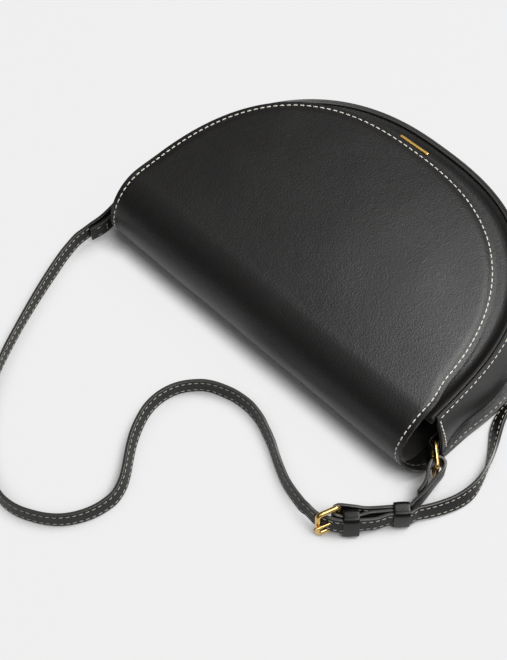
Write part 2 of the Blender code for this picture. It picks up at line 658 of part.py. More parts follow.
def build_front_bar():
    """The gold bar on the front, with two pins into the leather."""
    x, y = BAR_CENTRE
    z = front_height(x, y) + GAP
    mesh = bpy.data.meshes.new("front_bar")
    shape = bmesh.new()
    bmesh.ops.create_cube(shape, size=1.0)
    bmesh.ops.scale(shape, vec=(BAR_LENGTH, BAR_WIDTH, BAR_HEIGHT), verts=shape.verts)
    shape.to_mesh(mesh)
    shape.free()
    bar = bpy.data.objects.new("front_bar", mesh)
    bar.location = (x, ROLL_Y + y, z + BAR_HEIGHT / 2)
    bar.rotation_euler = (0.0, 0.0, BAR_TURN)
    edges = bar.modifiers.new("edges", "BEVEL")
    edges.width = BAR_EDGE
    edges.segments = 2
    for px, py in pin_places():
        low = (px, ROLL_Y + py, z - PIN_DEPTH)
        high = (px, ROLL_Y + py, z + BAR_HEIGHT / 2)
        pin = cutter_tube("bar_pin", low, high, PIN_RADIUS, 10)
        both = bar.modifiers.new("pin", "BOOLEAN")
        both.operation = "UNION"
        both.solver = "EXACT"
        both.object = pin
    finish(bar, "gold")


def turned(name, profile, base, tilt, look):
    """A body of revolution about its own Z, from (radius, height) pairs that start and end on the axis."""
    mesh = bpy.data.meshes.new(name)
    mesh.from_pydata([(r, 0.0, z) for r, z in profile], [(i, i + 1) for i in range(len(profile) - 1)], [])
    obj = bpy.data.objects.new(name, mesh)
    spin = obj.modifiers.new("turn", "SCREW")
    spin.steps = spin.render_steps = 28
    spin.use_merge_vertices = True
    spin.merge_threshold = 0.00001
    spin.use_normal_calculate = True
    obj.location = base
    obj.rotation_euler = (tilt, 0.0, 0.0)
    return finish(obj, look)


def build_snap():
    """Magnetic snap under the flap: socket on the front, stud on the flap's lining."""
    floor = front_height(0.0, SNAP_Y)
    step = SNAP_RADIUS
    tilt = math.atan2(front_height(0.0, SNAP_Y + step) - front_height(0.0, SNAP_Y - step), 2 * step)
    chamfer = BAR_EDGE
    lift = GAP
    profile = (
        (0.0, 0.0), (SNAP_RADIUS, 0.0), (SNAP_RADIUS, SOCKET_HEIGHT - chamfer),
        (SNAP_RADIUS - chamfer, SOCKET_HEIGHT), (SOCKET_BORE, SOCKET_HEIGHT),
        (SOCKET_BORE, SOCKET_HEIGHT - SOCKET_BORE_DEPTH), (0.0, SOCKET_HEIGHT - SOCKET_BORE_DEPTH),
    )
    turned("snap_socket", profile, (0.0, ROLL_Y + SNAP_Y, floor + lift), tilt, "gold")
    deep = LEATHER + GAP + FLAP_BOARD + GAP + LINING
    roof = flap_height(0.0, SNAP_Y) - deep
    slope = math.atan2(flap_height(0.0, SNAP_Y + step) - flap_height(0.0, SNAP_Y - step), 2 * step)
    profile = (
        (0.0, 0.0), (SNAP_RADIUS, 0.0), (SNAP_RADIUS, chamfer - STUD_HEIGHT),
        (SNAP_RADIUS - chamfer, -STUD_HEIGHT), (STUD_NIB, -STUD_HEIGHT),
        (STUD_NIB, -STUD_HEIGHT - STUD_NIB_HEIGHT), (0.0, -STUD_HEIGHT - STUD_NIB_HEIGHT),
    )
    turned("snap_stud", profile, (0.0, ROLL_Y + SNAP_Y, roof - lift), slope, "gold")


# Rings, tabs and straps


def rounded(width, height, corner, steps=4):
    """A rectangle with round corners, as pairs about its middle."""
    line = []
    for quarter in range(4):
        turn = math.pi / 2 * quarter
        cx = (width / 2 - corner) * (1 if quarter in (0, 3) else -1)
        cy = (height / 2 - corner) * (1 if quarter in (0, 1) else -1)
        for i in range(steps + 1):
            a = turn + math.pi / 2 * i / steps
            line.append((cx + corner * math.cos(a), cy + corner * math.sin(a)))
    return line


def build_ring(name, inner, outer):
    """A rectangular ring of round wire that stands upright between its two upright limbs."""
    mid = ((inner[0] + outer[0]) / 2, (inner[1] + outer[1]) / 2)
    span = math.dist(inner, outer)
    way = ((outer[0] - inner[0]) / span, (outer[1] - inner[1]) / span)
    line = rounded(span, RING_HEIGHT, RING_CORNER)
    points = [(mid[0] + u * way[0], mid[1] + u * way[1], RING_Z + v) for u, v in line]
    tube(name, points, RING_WIRE, "gold", True)


def ribbon(name, route, width, thickness, look):
    """A flat strap on edge along rows of x, y, z and the two level parts of its upward direction."""
    rows = []
    for x, y, z, ux, uy in route:
        up = np.array([ux, uy, math.sqrt(1 - ux**2 - uy**2)])
        middle = np.array([x, y, z])
        rows.append([tuple(middle - up * width / 2), tuple(middle + up * width / 2)])
    return sheet(name, rows, thickness, look, side=0.0)


def leaning(rows, ring):
    """Rows of x and y from a ring, z and lean to the left of the way along, as rows for a ribbon."""
    points = np.array(rows) + (*ring, 0.0, 0.0)
    along = np.gradient(points[:, :2], axis=0)
    along /= np.linalg.norm(along, axis=1)[:, None]
    tilt = np.sin(np.radians(points[:, 3]))
    return np.column_stack([points[:, :3], -along[:, 1] * tilt, along[:, 0] * tilt])


def spline(knots, step):
    """The route made smooth, with a point about every step along it and more where it turns."""
    padded = np.vstack([2 * knots[0] - knots[1], knots, 2 * knots[-1] - knots[-2]])
    fine = []
    for i in range(len(knots) - 1):
        a, b, c, d = padded[i : i + 4]
        for k in range(8):
            t = k / 8
            fine.append(
                0.5 * (2 * b + (c - a) * t + (2 * a - 5 * b + 4 * c - d) * t**2 + (3 * b - a - 3 * c + d) * t**3)
            )
    fine.append(knots[-1])
    fine = np.array(fine)
    length = np.concatenate([[0.0], np.cumsum(np.linalg.norm(np.diff(fine[:, :3], axis=0), axis=1))])
    turn = np.unwrap(np.arctan2(np.gradient(fine[:, 1]), np.gradient(fine[:, 0])))
    effort = length / step + np.concatenate([[0.0], np.cumsum(np.abs(np.diff(turn)))]) / math.radians(TURN_STEP)
    count = int(round(effort[-1]))
    marks = np.interp(np.linspace(0.0, effort[-1], count + 1), effort, length)
    return np.stack([np.interp(marks, length, fine[:, i]) for i in range(fine.shape[1])], axis=1)


def grounded(route):
    """The strap's route lifted where its lower edge would go under the table."""
    lean = np.arcsin(np.hypot(route[:, 3], route[:, 4]))
    least = STRAP_WIDTH / 2 * np.cos(lean) + STRAP_THICK / 2 * np.sin(lean) + STRAP_LIFT
    route[:, 2] = np.maximum(route[:, 2], least)
    return route


def build_tab(name, inner, side):
    """The leather loop that holds a ring, its two legs sewn inside the gusset's end."""
    wall = Wall(29, GUSSET_END_Y)
    ends = (RING_Z - TAB_WIDTH / 2, RING_Z + TAB_WIDTH / 2)
    clear = GUSSET_LEATHER + GAP + LINING + GAP + GAP + TAB_THICK / 2
    order = range(len(wall.top)) if side > 0 else range(len(wall.top) - 1, -1, -1)
    line = [wall.top[i][1] for i in order]
    x_of = [min(abs(wall.at(i, z, clear)[0]) for z in ends) for i in order]
    centre = np.array(inner)
    radius = RING_WIRE + TAB_CLEAR - TAB_THICK / 2
    start = inner[1] - ROLL_Y
    legs = []
    for k in range(5):
        y = start + radius + TAB_LEG * (0.18 + 0.82 * k / 4)
        legs.append((min(float(np.interp(y, line[:12], x_of[:12])), abs(inner[0]) + radius), y))
    near = [(x * side, ROLL_Y + y) for x, y in legs]
    spread = TAB_THICK + GAP
    merge = [0.0, 0.45, 0.85, 1.0, 1.0]
    far = []
    for (x, y), m in zip(legs, merge):
        inward = (abs(inner[0]) - radius) * (1 - m) + (x - spread) * m
        far.append((inward * side, ROLL_Y + y))
    arc = []
    for k in range(13):
        a = math.pi * k / 12
        arc.append((centre[0] + side * radius * math.cos(a), centre[1] - radius * math.sin(a)))
    plan = list(reversed(near)) + arc + far
    route = [(x, y, RING_Z, 0.0, 0.0) for x, y in plan]
    ribbon(name, route, TAB_WIDTH, TAB_THICK, "leather")


def stack_point(along, out, rise, lean=STACK_LEAN, z=STACK_Z):
    """World point from a distance along the strap, a distance to its right, and a rise up its leaning width."""
    tilt = math.radians(lean)
    out = out - rise * math.sin(tilt)
    x = RING_INNER_RIGHT[0] + STACK_FROM_RING[0] + TRAVEL[0] * along + TRAVEL[1] * out
    y = RING_INNER_RIGHT[1] + STACK_FROM_RING[1] + TRAVEL[1] * along - TRAVEL[0] * out
    return (x, y, z + rise * math.cos(tilt))


def build_keeper(name, start, end, back, front, height, middle_z, lean):
    """A band of leather round the strap's layers."""
    middle = (back + front) / 2
    line = rounded(front - back, height, KEEPER_CORNER, 3)
    rows = []
    for along in (end, (start + end) / 2, start):
        row = []
        for u, v in line:
            row.append(stack_point(along, middle + u, v, lean, middle_z))
        rows.append(row)
    sheet(name, rows, KEEPER_THICK, "leather", wrap=True, side=1.0)


def build_buckle():
    """The gold frame, and the prong that turns on its right bar and lies on its left bar."""
    mid = ((BAR_LEFT[0] + BAR_RIGHT[0]) / 2, (BAR_LEFT[1] + BAR_RIGHT[1]) / 2)
    span = math.dist(BAR_LEFT, BAR_RIGHT)
    way = ((BAR_RIGHT[0] - BAR_LEFT[0]) / span, (BAR_RIGHT[1] - BAR_LEFT[1]) / span)
    line = rounded(span, BUCKLE_HEIGHT, BUCKLE_CORNER, 4)
    points = [stack_point(mid[0] + u * way[0], mid[1] + u * way[1], v, BUCKLE_LEAN, BUCKLE_Z) for u, v in line]
    tube("buckle_frame", points, BUCKLE_WIRE, "gold", True)

    reach = BUCKLE_WIRE + GAP + PRONG_WIRE
    tilt = math.radians(BUCKLE_LEAN)
    plan = []
    for k in range(PRONG_TURNS + 1):
        a = math.radians(PRONG_EYE) * (k / PRONG_TURNS - 1)
        plan.append((reach * math.sin(a), reach * math.cos(a)))
    tip = span + BUCKLE_WIRE + PRONG_PAST
    plan += [(-tip * share, reach) for share in (0.25, 0.5, 0.75, 1.0)]
    points = []
    for a, b in plan:
        level = b * math.cos(tilt)
        place = (BAR_RIGHT[0] + a * way[0] - level * way[1], BAR_RIGHT[1] + a * way[1] + level * way[0])
        points.append(stack_point(*place, 0.0, BUCKLE_LEAN, BUCKLE_Z + b * math.sin(tilt)))
    tube("buckle_prong", points, PRONG_WIRE, "gold", False)
    return points[-5], points[-1]


def through(rows):
    """Rows in the layers' own directions and their shared lean, as rows for a ribbon."""
    made = []
    for along, out, z, lean in rows:
        x, y, _ = stack_point(along, out, 0.0)
        tilt = math.sin(math.radians(lean))
        made.append((x, y, z, -TRAVEL[1] * tilt, TRAVEL[0] * tilt))
    return np.array(made)


def build_straps(prong_line):
    first = [(x + RING_INNER_LEFT[0], y + RING_INNER_LEFT[1], z, lean) for x, y, z, lean in STRAP_FROM_LEFT]
    first += [(x + RING_INNER_RIGHT[0], y + RING_INNER_RIGHT[1], z, lean) for x, y, z, lean in STRAP_FROM_RIGHT]
    route = np.vstack([leaning(first, (0.0, 0.0)), through(STRAP_THROUGH), leaning(STRAP_TAIL, RING_INNER_RIGHT)])
    strap = ribbon("shoulder_strap", grounded(spline(route, STRAP_STEP)), STRAP_WIDTH, STRAP_THICK, "leather")
    route = np.vstack([through(BUCKLE_THROUGH), leaning(BUCKLE_END, RING_INNER_RIGHT)])
    chape = ribbon("buckle_strap", grounded(spline(route, STRAP_STEP)), STRAP_WIDTH, STRAP_THICK, "leather")
    cut(strap, cutter_tube("prong_hole", prong_line[0], prong_line[1], PRONG_HOLE))
    mesh = bpy.data.meshes.new("prong_slot")
    shape = bmesh.new()
    bmesh.ops.create_cube(shape, size=1.0)
    bmesh.ops.scale(shape, vec=(SLOT_SIDE, SLOT_SIDE, SLOT_HEIGHT), verts=shape.verts)
    shape.to_mesh(mesh)
    shape.free()
    slot = bpy.data.objects.new("prong_slot", mesh)
    slot.location = stack_point(*BAR_RIGHT, 0.0, BUCKLE_LEAN, BUCKLE_Z)
    up = Vector(stack_point(0.0, 0.0, 1.0, BUCKLE_LEAN)) - Vector(stack_point(0.0, 0.0, 0.0, BUCKLE_LEAN))
    slot.rotation_mode = "QUATERNION"
    slot.rotation_quaternion = up.to_track_quat("Z", "Y")
    slot.display_type = "WIRE"
    slot.hide_render = True
    bpy.data.collections["cutters"].objects.link(slot)
    cut(chape, slot)


def on_axis(name, place, pieces):
    """An empty on a joint's axis that carries the pieces that move about it."""
    axis = bpy.data.objects.new(name, None)
    axis.location = place
    bpy.data.collections["half_moon_bag"].objects.link(axis)
    bpy.context.view_layer.update()
    for piece in pieces:
        obj = bpy.data.objects[piece]
        obj.parent = axis
        obj.matrix_parent_inverse = axis.matrix_world.inverted()


clear_scene()
build_back()
build_flap()
build_gusset()
build_front()
build_front_bar()
build_snap()
build_ring("ring_right", RING_INNER_RIGHT, RING_OUTER_RIGHT)
build_ring("ring_left", RING_INNER_LEFT, RING_OUTER_LEFT)
build_tab("ring_tab_right", RING_INNER_RIGHT, 1.0)
build_tab("ring_tab_left", RING_INNER_LEFT, -1.0)
build_keeper(
    "keeper_fixed", FIXED_FROM, FIXED_TO, FIXED_BACK, FIXED_FRONT, FIXED_HEIGHT, FIXED_Z, FIXED_LEAN
)
build_keeper(
    "keeper_sliding", SLIDING_FROM, SLIDING_TO, SLIDING_BACK, SLIDING_FRONT, KEEPER_HEIGHT, STACK_Z, STACK_LEAN
)
build_straps(build_buckle())
fold_line = (0.0, ROLL_Y - ROLL_RADIUS, ROLL_RADIUS)
on_axis("flap_fold", fold_line, ("flap_panel", "flap_lining", "flap_board", "snap_stud"))
on_axis("ring_right_turn", (*RING_INNER_RIGHT, RING_Z), ("ring_right",))
on_axis("ring_left_turn", (*RING_INNER_LEFT, RING_Z), ("ring_left",))
on_axis("prong_turn", stack_point(*BAR_RIGHT, 0.0, BUCKLE_LEAN, BUCKLE_Z), ("buckle_prong",))
on_axis("keeper_slide", stack_point(SLIDING_FROM, SLIDING_BACK, 0.0), ("keeper_sliding",))
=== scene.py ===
"""Half moon bag in black leather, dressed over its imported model: leather, thread, edge paint, brass, light and camera.

Metres, Z up, lying on its back on the table (z = 0). The roll that joins back and flap lies along X.
"""

import math

import bpy
import numpy as np
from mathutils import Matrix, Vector, noise


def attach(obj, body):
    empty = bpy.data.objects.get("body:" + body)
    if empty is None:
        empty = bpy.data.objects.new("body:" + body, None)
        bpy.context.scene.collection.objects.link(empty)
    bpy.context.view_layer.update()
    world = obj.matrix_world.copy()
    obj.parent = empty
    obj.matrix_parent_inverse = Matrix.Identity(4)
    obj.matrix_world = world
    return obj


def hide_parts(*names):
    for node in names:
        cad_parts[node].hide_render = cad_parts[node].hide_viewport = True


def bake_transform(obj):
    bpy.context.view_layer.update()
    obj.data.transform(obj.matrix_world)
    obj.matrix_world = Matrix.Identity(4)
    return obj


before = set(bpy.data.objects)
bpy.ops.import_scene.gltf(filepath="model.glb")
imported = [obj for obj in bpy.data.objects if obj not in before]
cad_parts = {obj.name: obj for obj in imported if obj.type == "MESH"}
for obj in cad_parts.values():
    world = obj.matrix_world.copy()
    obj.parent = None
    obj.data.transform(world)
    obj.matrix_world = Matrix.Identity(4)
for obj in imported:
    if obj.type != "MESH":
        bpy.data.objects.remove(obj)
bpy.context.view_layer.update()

# The camera
# A long lens looks down at sixty degrees over the bag's right front corner.

camera_data = bpy.data.cameras.new("camera")
camera_data.sensor_fit = "VERTICAL"
camera_data.sensor_height = 36.0
camera_data.sensor_width = 36.0
camera_data.lens = 81.8
camera_data.clip_end = 20.0


def placed(name, data):
    """A new object in the scene."""
    made = bpy.data.objects.new(name, data)
    bpy.context.scene.collection.objects.link(made)
    return made


camera = placed("camera", camera_data)
camera.location = (0.3312, -0.4355, 0.849)
camera.rotation_euler = (math.radians(30.0), 0.0, math.radians(43.7))
bpy.context.scene.camera = camera

# The shoulder strap
# Two layers of black calf sewn back to back, edges rounded and painted. It is folded round the left ring,
# runs round on its edge to the buckle, and its free tail goes through both keepers.

STRAP_WIDTH = 0.0120
STRAP_THICK = 0.0021
STRAP_CORNER = 0.00045
STRAP_LIFT = 0.0001
STRAP_STEP = 0.0020
TRAVEL = (0.6923, 0.7216)
RING_LEFT_LIMB = (-0.1274, -0.0640)
RING_RIGHT_LIMB = (0.1346, -0.0697)

# The middle line in millimetres: x and y from the left ring's inner limb, height, and lean to the left in degrees
MILLIMETRES = (0.001, 0.001, 0.001, 1.0)
STRAP_FROM_LEFT = (
    (-6.4, -42.8, 9.4, 3), (-5.4, -39.8, 10.1, 3), (-3.8, -35.4, 11.1, 3), (-2.9, -31, 12.1, 2),
    (-2.6, -26.5, 13.1, 1), (-2.4, -22.2, 13.6, 0), (-1.7, -17.5, 13.6, 0), (-2.3, -14.3, 13.6, 0),
    (-4.6, -13.1, 13.6, 0), (-7.1, -14.2, 13.6, 0), (-7.9, -17.2, 13.6, 0), (-7.3, -24, 13.1, -1),
    (-7.6, -31.8, 11.6, -2), (-9, -39.1, 10.1, -3), (-10.2, -45.3, 8.6, -3), (-11, -51, 7.7, -4),
    (-10.6, -56.5, 7, -4), (-8.7, -66.4, 6.4, -6), (-5.6, -77.2, 6.2, -7), (-2.2, -88, 6.2, -6),
    (1.4, -98.7, 6.2, -4), (5.2, -109.3, 6.2, -2), (9.2, -119.8, 6.2, 0), (13.3, -130, 6.2, 0),
    (17.6, -140.2, 6.2, 0), (22.8, -151, 6.2, 2), (29.6, -162.8, 6.2, 4), (38.6, -175.6, 6.2, 6),
    (49.8, -188, 6.2, 7), (62.6, -198.8, 6.2, 8), (76.9, -206.9, 6.2, 8),
)
# The same from the right ring's inner limb
STRAP_FROM_RIGHT = (
    (-170.3, -205.5, 6.1, 8), (-161.1, -205.5, 6.1, 8), (-153.9, -203.7, 6.1, 8), (-147.8, -201, 6.1, 8),
    (-142.1, -197.9, 6.1, 8), (-137, -194.4, 6.1, 8), (-132.4, -190.3, 6.1, 8), (-128.5, -185.6, 6.1, 8),
    (-125.2, -180.3, 6.1, 8), (-122.4, -174.4, 6.1, 9), (-120.4, -167.7, 6.1, 10), (-119.4, -160, 6.1, 12),
    (-120, -154.8, 6.2, 13), (-122.5, -147.8, 6.2, 15), (-126.5, -141.2, 6.2, 16), (-130.6, -135.6, 6.2, 16),
    (-135.8, -128.5, 6.2, 16), (-140.6, -120.9, 6.2, 16), (-144.9, -111.9, 6.2, 14), (-148, -102.4, 6.1, 12),
    (-148.8, -93.4, 6.1, 9), (-147.8, -85.9, 6.1, 7), (-145.7, -79.4, 6.1, 5), (-142.5, -73.8, 6.1, 4),
    (-138.5, -68.9, 6.1, 4), (-134, -64.6, 6.1, 4), (-128.4, -61.4, 6.1, 6), (-122.2, -59, 6.1, 8),
    (-115.4, -57, 6.1, 9), (-108.4, -56.1, 6.1, 10), (-102.2, -56, 6.2, 11), (-95.9, -57, 6.2, 11),
    (-89.9, -58.6, 6.2, 11), (-84.2, -61, 6.2, 11), (-78.4, -63.5, 6.2, 11), (-72.9, -66.3, 6.2, 11),
    (-67.5, -69.5, 6.2, 10), (-62, -72.6, 6.3, 10), (-56.3, -75.6, 6.6, 10), (-50.4, -78.4, 7, 10),
    (-44.3, -80.4, 7.5, 10), (-38.2, -82, 8, 11), (-32.1, -83.3, 8.5, 12),
)
# Through buckle and keepers: along the layers (their direction is TRAVEL), to their right, height, lean
STRAP_THROUGH = (
    (-36.8, 182.6, 9, 13), (-33.5, 186.9, 9.2, 14), (-30.8, 189.3, 9.3, 14), (-27.5, 190.8, 9.3, 14),
    (-24, 192.3, 9.3, 14), (-21, 193.5, 9.3, 14), (-18, 194.1, 9.2, 14), (-15, 194.2, 8.9, 13),
    (-11, 194.1, 8.6, 12), (-6.5, 193.8, 8.3, 11), (-2, 193.4, 8.1, 9), (3, 193.1, 8, 9), (7.5, 192, 8, 9),
    (11.5, 190.7, 8, 9), (14.5, 190.5, 8, 9), (20, 190.3, 8, 9), (25, 190.2, 7.9, 10),
)
# The free tail, from the right ring
STRAP_TAIL = (
    (21.3, -38.5, 7.5, 14), (24.7, -33.2, 7.2, 17), (27.9, -27.8, 6.9, 19), (30.8, -22, 6.5, 21),
    (33.3, -15.9, 6.2, 22), (35.1, -9.2, 6.2, 22), (35.6, -2.5, 6.2, 17), (34.9, 4, 6.2, 9), (33.5, 10.5, 6.2, 2),
    (31.5, 16.8, 6.2, -5), (28.9, 22.7, 6.2, -12), (25.9, 28.4, 6.2, -19), (22.8, 33.9, 6.1, -25),
    (19.7, 39.4, 5.9, -30), (17.2, 45.1, 5.8, -32), (15.6, 51.2, 5.8, -32), (15, 58.7, 5.8, -30),
    (15.1, 66.7, 6, -26), (15.7, 74.7, 6.1, -20), (16.9, 84.7, 6.2, -14), (18.7, 94.7, 6.2, -10),
)
# The buckle strap, from its end in the sliding keeper
BUCKLE_THROUGH = (
    (22.5, 187.9, 8, 9), (18, 187.9, 8, 9), (13.5, 188, 8, 9), (9, 188.3, 8, 9), (4, 188.6, 8, 9),
    (0, 188.9, 8.1, 9), (-4, 190, 8.2, 10), (-7.5, 191, 8.4, 11), (-11, 191.4, 8.6, 12), (-15, 191.5, 8.9, 13),
    (-18.3, 191.3, 9.2, 14), (-20.8, 190.2, 9.3, 14), (-22, 187.8, 9.3, 14), (-21, 185.3, 9.3, 14),
    (-18.5, 184, 9.2, 14), (-15, 184.1, 9, 13), (-11, 184.5, 8.7, 11), (-7, 185, 8.4, 10), (-3, 185.7, 8.1, 9),
    (1, 185.9, 8, 9), (7, 185.8, 8, 9), (12, 185.6, 8, 9), (16, 185.5, 8, 9), (20.5, 185.5, 8, 9),
    (24.8, 185.3, 8, 9),
)
# and on round the right ring
BUCKLE_END = (
    (16.7, -35.6, 8.6, 8), (17, -31.5, 9.5, 6), (17, -27.8, 10.3, 4), (16.8, -23.8, 11.1, 3),
    (16.5, -19.8, 11.8, 2), (16.3, -15.8, 12.6, 1), (16.3, -11.8, 13.2, 0), (15.6, -8.1, 13.6, 0),
    (13.5, -5.4, 13.6, 0), (10.6, -4.8, 13.6, 0), (8, -6.5, 13.6, 0), (7.2, -9.6, 13.6, 0), (8, -13.2, 13.5, 0),
    (9.9, -16.7, 13, -1), (11.9, -19.8, 12.1, -2), (13.3, -23.2, 11.3, -3), (14.1, -26.8, 10.5, -4),
    (14.4, -30.3, 9.7, -6),
)


def linear(colour):
    """An sRGB hex colour as linear numbers for a shader."""
    parts = [int(colour[i : i + 2], 16) / 255 for i in (1, 3, 5)]
    return (*[p / 12.92 if p <= 0.04045 else ((p + 0.055) / 1.055) ** 2.4 for p in parts], 1.0)


def fed(made, **links):
    """Feeds a node's inputs, by name with _ for a space or by _ and number, from values, hex colours, sockets or other
    nodes, whose first output is meant."""
    for name, value in links.items():
        socket = made.inputs[int(name[1:])] if name[0] == "_" else made.inputs[name.replace("_", " ")]
        if isinstance(value, bpy.types.Node):
            value = value.outputs[0]
        if isinstance(value, bpy.types.NodeSocket):
            made.id_data.links.new(value, socket)
        else:
            socket.default_value = linear(value) if isinstance(value, str) else value
    return made


def node(tree, kind, settings=None, **links):
    """Adds a node: settings are its own properties, links feed its inputs."""
    made = tree.nodes.new(kind)
    for name, value in (settings or {}).items():
        setattr(made, name, value)
    return fed(made, **links)


def bare_material(name, **sockets):
    """A new material, its tree, its shader with these sockets fed, and the place in the piece that patterns follow."""
    made = bpy.data.materials.new(name)
    made.use_nodes = True
    tree = made.node_tree
    shader = fed(tree.nodes["Principled BSDF"], **sockets)
    return made, tree, shader, node(tree, "ShaderNodeTexCoord").outputs["Object"]


# Smooth black calf: aniline dyed and lightly finished. The grain is cells of about half a millimetre, drawn twice
# as wide so that they show, under softer creases of a few millimetres; the sheen is broad with small dry patches.
GRAIN_CELL = 0.0011
GRAIN_CREASE = 0.0060
DRY_PATCH = 0.035
calf, tree, shader, place = bare_material(
    "black_calf_leather", Base_Color="#151413", Roughness=0.44, IOR=1.5, Specular_IOR_Level=0.5
)
cells = node(
    tree, "ShaderNodeTexVoronoi", {"feature": "SMOOTH_F1"}, Vector=place, Scale=1 / GRAIN_CELL, Smoothness=0.35
)
creases = node(tree, "ShaderNodeTexNoise", Vector=place, Scale=1 / GRAIN_CREASE, Detail=5.0, Roughness=0.6)
patches = node(tree, "ShaderNodeTexNoise", Vector=place, Scale=1 / DRY_PATCH, Detail=3.0, Roughness=0.5)
dryness = node(tree, "ShaderNodeMapRange", Value=patches, To_Min=0.38, To_Max=0.50)
tint = node(tree, "ShaderNodeMixRGB", Fac=creases, Color1="#100f0e", Color2="#1b1918")
grain = node(tree, "ShaderNodeBump", Height=cells, Strength=0.19, Distance=0.00045)
folds = node(tree, "ShaderNodeBump", Height=creases, Strength=0.20, Distance=0.0006, Normal=grain)
fed(shader, Base_Color=tint, Roughness=dryness, Normal=folds)

# Strap calf: the same hide, waxed less and closer in tone, because hands and clothes keep its bloom off.
strap_calf = calf.copy()
strap_calf.name = "black_calf_strap_leather"
fed(strap_calf.node_tree.nodes["Principled BSDF"], Specular_IOR_Level=0.26)

# Edge paint: black acrylic in several coats, sanded between them, so edges are smoother and shinier than the faces.
# Its base is a dark grey, lighter than the leather: this is partly painted sheen, for the light along the edges' tops.
PAINT_RIPPLE = 0.0016
edge_paint_and_sheen, tree, shader, place = bare_material(
    "black_edge_coat_with_painted_sheen", Base_Color="#393836", Roughness=0.32, IOR=1.49, Coat_Weight=0.3, Coat_Roughness=0.25
)
coats = node(tree, "ShaderNodeTexNoise", Vector=place, Scale=1 / PAINT_RIPPLE, Detail=2.0, Roughness=0.5)
ripple = node(tree, "ShaderNodeBump", Height=coats, Strength=0.15, Distance=0.0003)
fed(shader, Normal=ripple)

# Waxed polyester thread, off white, three strands twisted: the twist shows as slanting ridges along each stitch. The
# wave node puts about three bands in its length, so a ridge comes every 0.7 mm.
TWIST_LENGTH = 0.0022
thread, tree, shader, place = bare_material(
    "white_waxed_thread", Base_Color="#e9e5da", Roughness=0.55, IOR=1.53, Sheen_Weight=0.2
)
strands = node(
    tree, "ShaderNodeTexWave", {"bands_direction": "DIAGONAL"}, Vector=place, Scale=1 / TWIST_LENGTH, Distortion=0.4
)
shade = node(tree, "ShaderNodeMixRGB", Fac=strands.outputs["Fac"], Color1="#cfcabd", Color2="#f1eee6")
twist = node(tree, "ShaderNodeBump", Height=strands.outputs["Fac"], Strength=0.4, Distance=0.0001)
fed(shader, Base_Color=shade, Normal=twist)


def duller_thread(name, dark, light):
    """The waxed thread again in two duller tones."""
    dull = thread.copy()
    dull.name = name
    for shaded in dull.node_tree.nodes:
        if shaded.bl_idname == "ShaderNodeMixRGB":
            fed(shaded, Color1=dark, Color2=light)
    return dull


# Bobbin thread inside the roll: the same yarn, pulled down into the suede, in two dark greys that are painted shade, as
# this row lies in the roll's shadow.
shadowed_bobbin = duller_thread("grey_stained_bobbin_thread", "#3d3b37", "#5c5953")
# Thread of the straps and the turned-out foot: the same yarn in two duller tones; on the foot this darker tone is
# painted shade.
dimmed_thread = duller_thread("rubbed_waxed_thread", "#9a968c", "#b9b4a7")


def unit(rows):
    """Directions brought to length one."""
    return rows / np.linalg.norm(rows, axis=1)[:, None]


def run_along(line):
    """The distance travelled at each row of a line, measured along its first three numbers."""
    return np.concatenate([[0.0], np.cumsum(np.linalg.norm(np.diff(line[:, :3], axis=0), axis=1))])


def metres(rows, ring=(0.0, 0.0)):
    """A table's rows in metres, their x and y counted from a ring."""
    return np.array(rows) * MILLIMETRES + (*ring, 0.0, 0.0)


def leaning(points):
    """Places and their lean, as places with the level parts of the upward direction."""
    along = unit(np.gradient(points[:, :2], axis=0))
    tilt = np.sin(np.radians(points[:, 3]))
    return np.column_stack([points[:, :3], -along[:, 1] * tilt, along[:, 0] * tilt])


def through(rows):
    """The same for a table in the layers' own directions, where all layers lean alike."""
    along, out, z, lean = metres(rows).T
    tilt = np.sin(np.radians(lean))
    x = TRAVEL[0] * along + TRAVEL[1] * out
    y = TRAVEL[1] * along - TRAVEL[0] * out
    return np.column_stack([x, y, z, -TRAVEL[1] * tilt, TRAVEL[0] * tilt])


def spline(knots, step):
    """The route made smooth, with a row every step along it."""
    padded = np.vstack([2 * knots[0] - knots[1], knots, 2 * knots[-1] - knots[-2]])
    fine = []
    for i in range(len(knots) - 1):
        a, b, c, d = padded[i : i + 4]
        for t in np.arange(12) / 12:
            fine.append(
                0.5 * (2 * b + (c - a) * t + (2 * a - 5 * b + 4 * c - d) * t**2 + (3 * b - a - 3 * c + d) * t**3)
            )
    fine.append(knots[-1])
    return evenly(np.array(fine), step)


def evenly(line, step):
    """A line of rows again with its points a step apart."""
    length = run_along(line)
    marks = np.linspace(0.0, length[-1], max(int(round(length[-1] / step)), 1) + 1)
    return np.stack([np.interp(marks, length, line[:, i]) for i in range(line.shape[1])], axis=1)


def strap_frame(route):
    """Middle line, upward direction and face direction of a strap at each row of its route."""
    middle = route[:, :3].copy()
    lean = np.hypot(route[:, 3], route[:, 4])
    up = np.column_stack([route[:, 3:5], np.sqrt(1 - lean**2)])
    face = unit(np.cross(up, np.gradient(middle, axis=0)))
    least = STRAP_WIDTH / 2 * up[:, 2] + STRAP_THICK / 2 * lean + STRAP_LIFT
    middle[:, 2] = np.maximum(middle[:, 2], least)
    return middle, up, face


def rounded(width, height, corner, steps=4):
    """A rectangle with round corners, as pairs about its middle."""
    line = []
    for quarter in range(4):
        turn = math.pi / 2 * quarter
        cx = (width / 2 - corner) * (1 if quarter in (0, 3) else -1)
        cy = (height / 2 - corner) * (1 if quarter in (0, 1) else -1)
        for i in range(steps + 1):
            a = turn + math.pi / 2 * i / steps
            line.append((cx + corner * math.cos(a), cy + corner * math.sin(a)))
    return line


def piece_from(name, points, faces, materials, painted=()):
    """A mesh piece, shaded smooth; painted holds the indexes of the faces that take the second material."""
    mesh = bpy.data.meshes.new(name)
    mesh.from_pydata([tuple(map(float, p)) for p in points], [], faces)
    mesh.shade_smooth()
    for made in materials:
        mesh.materials.append(made)
    for index in painted:
        mesh.polygons[index].material_index = 1
    return placed(name, mesh)


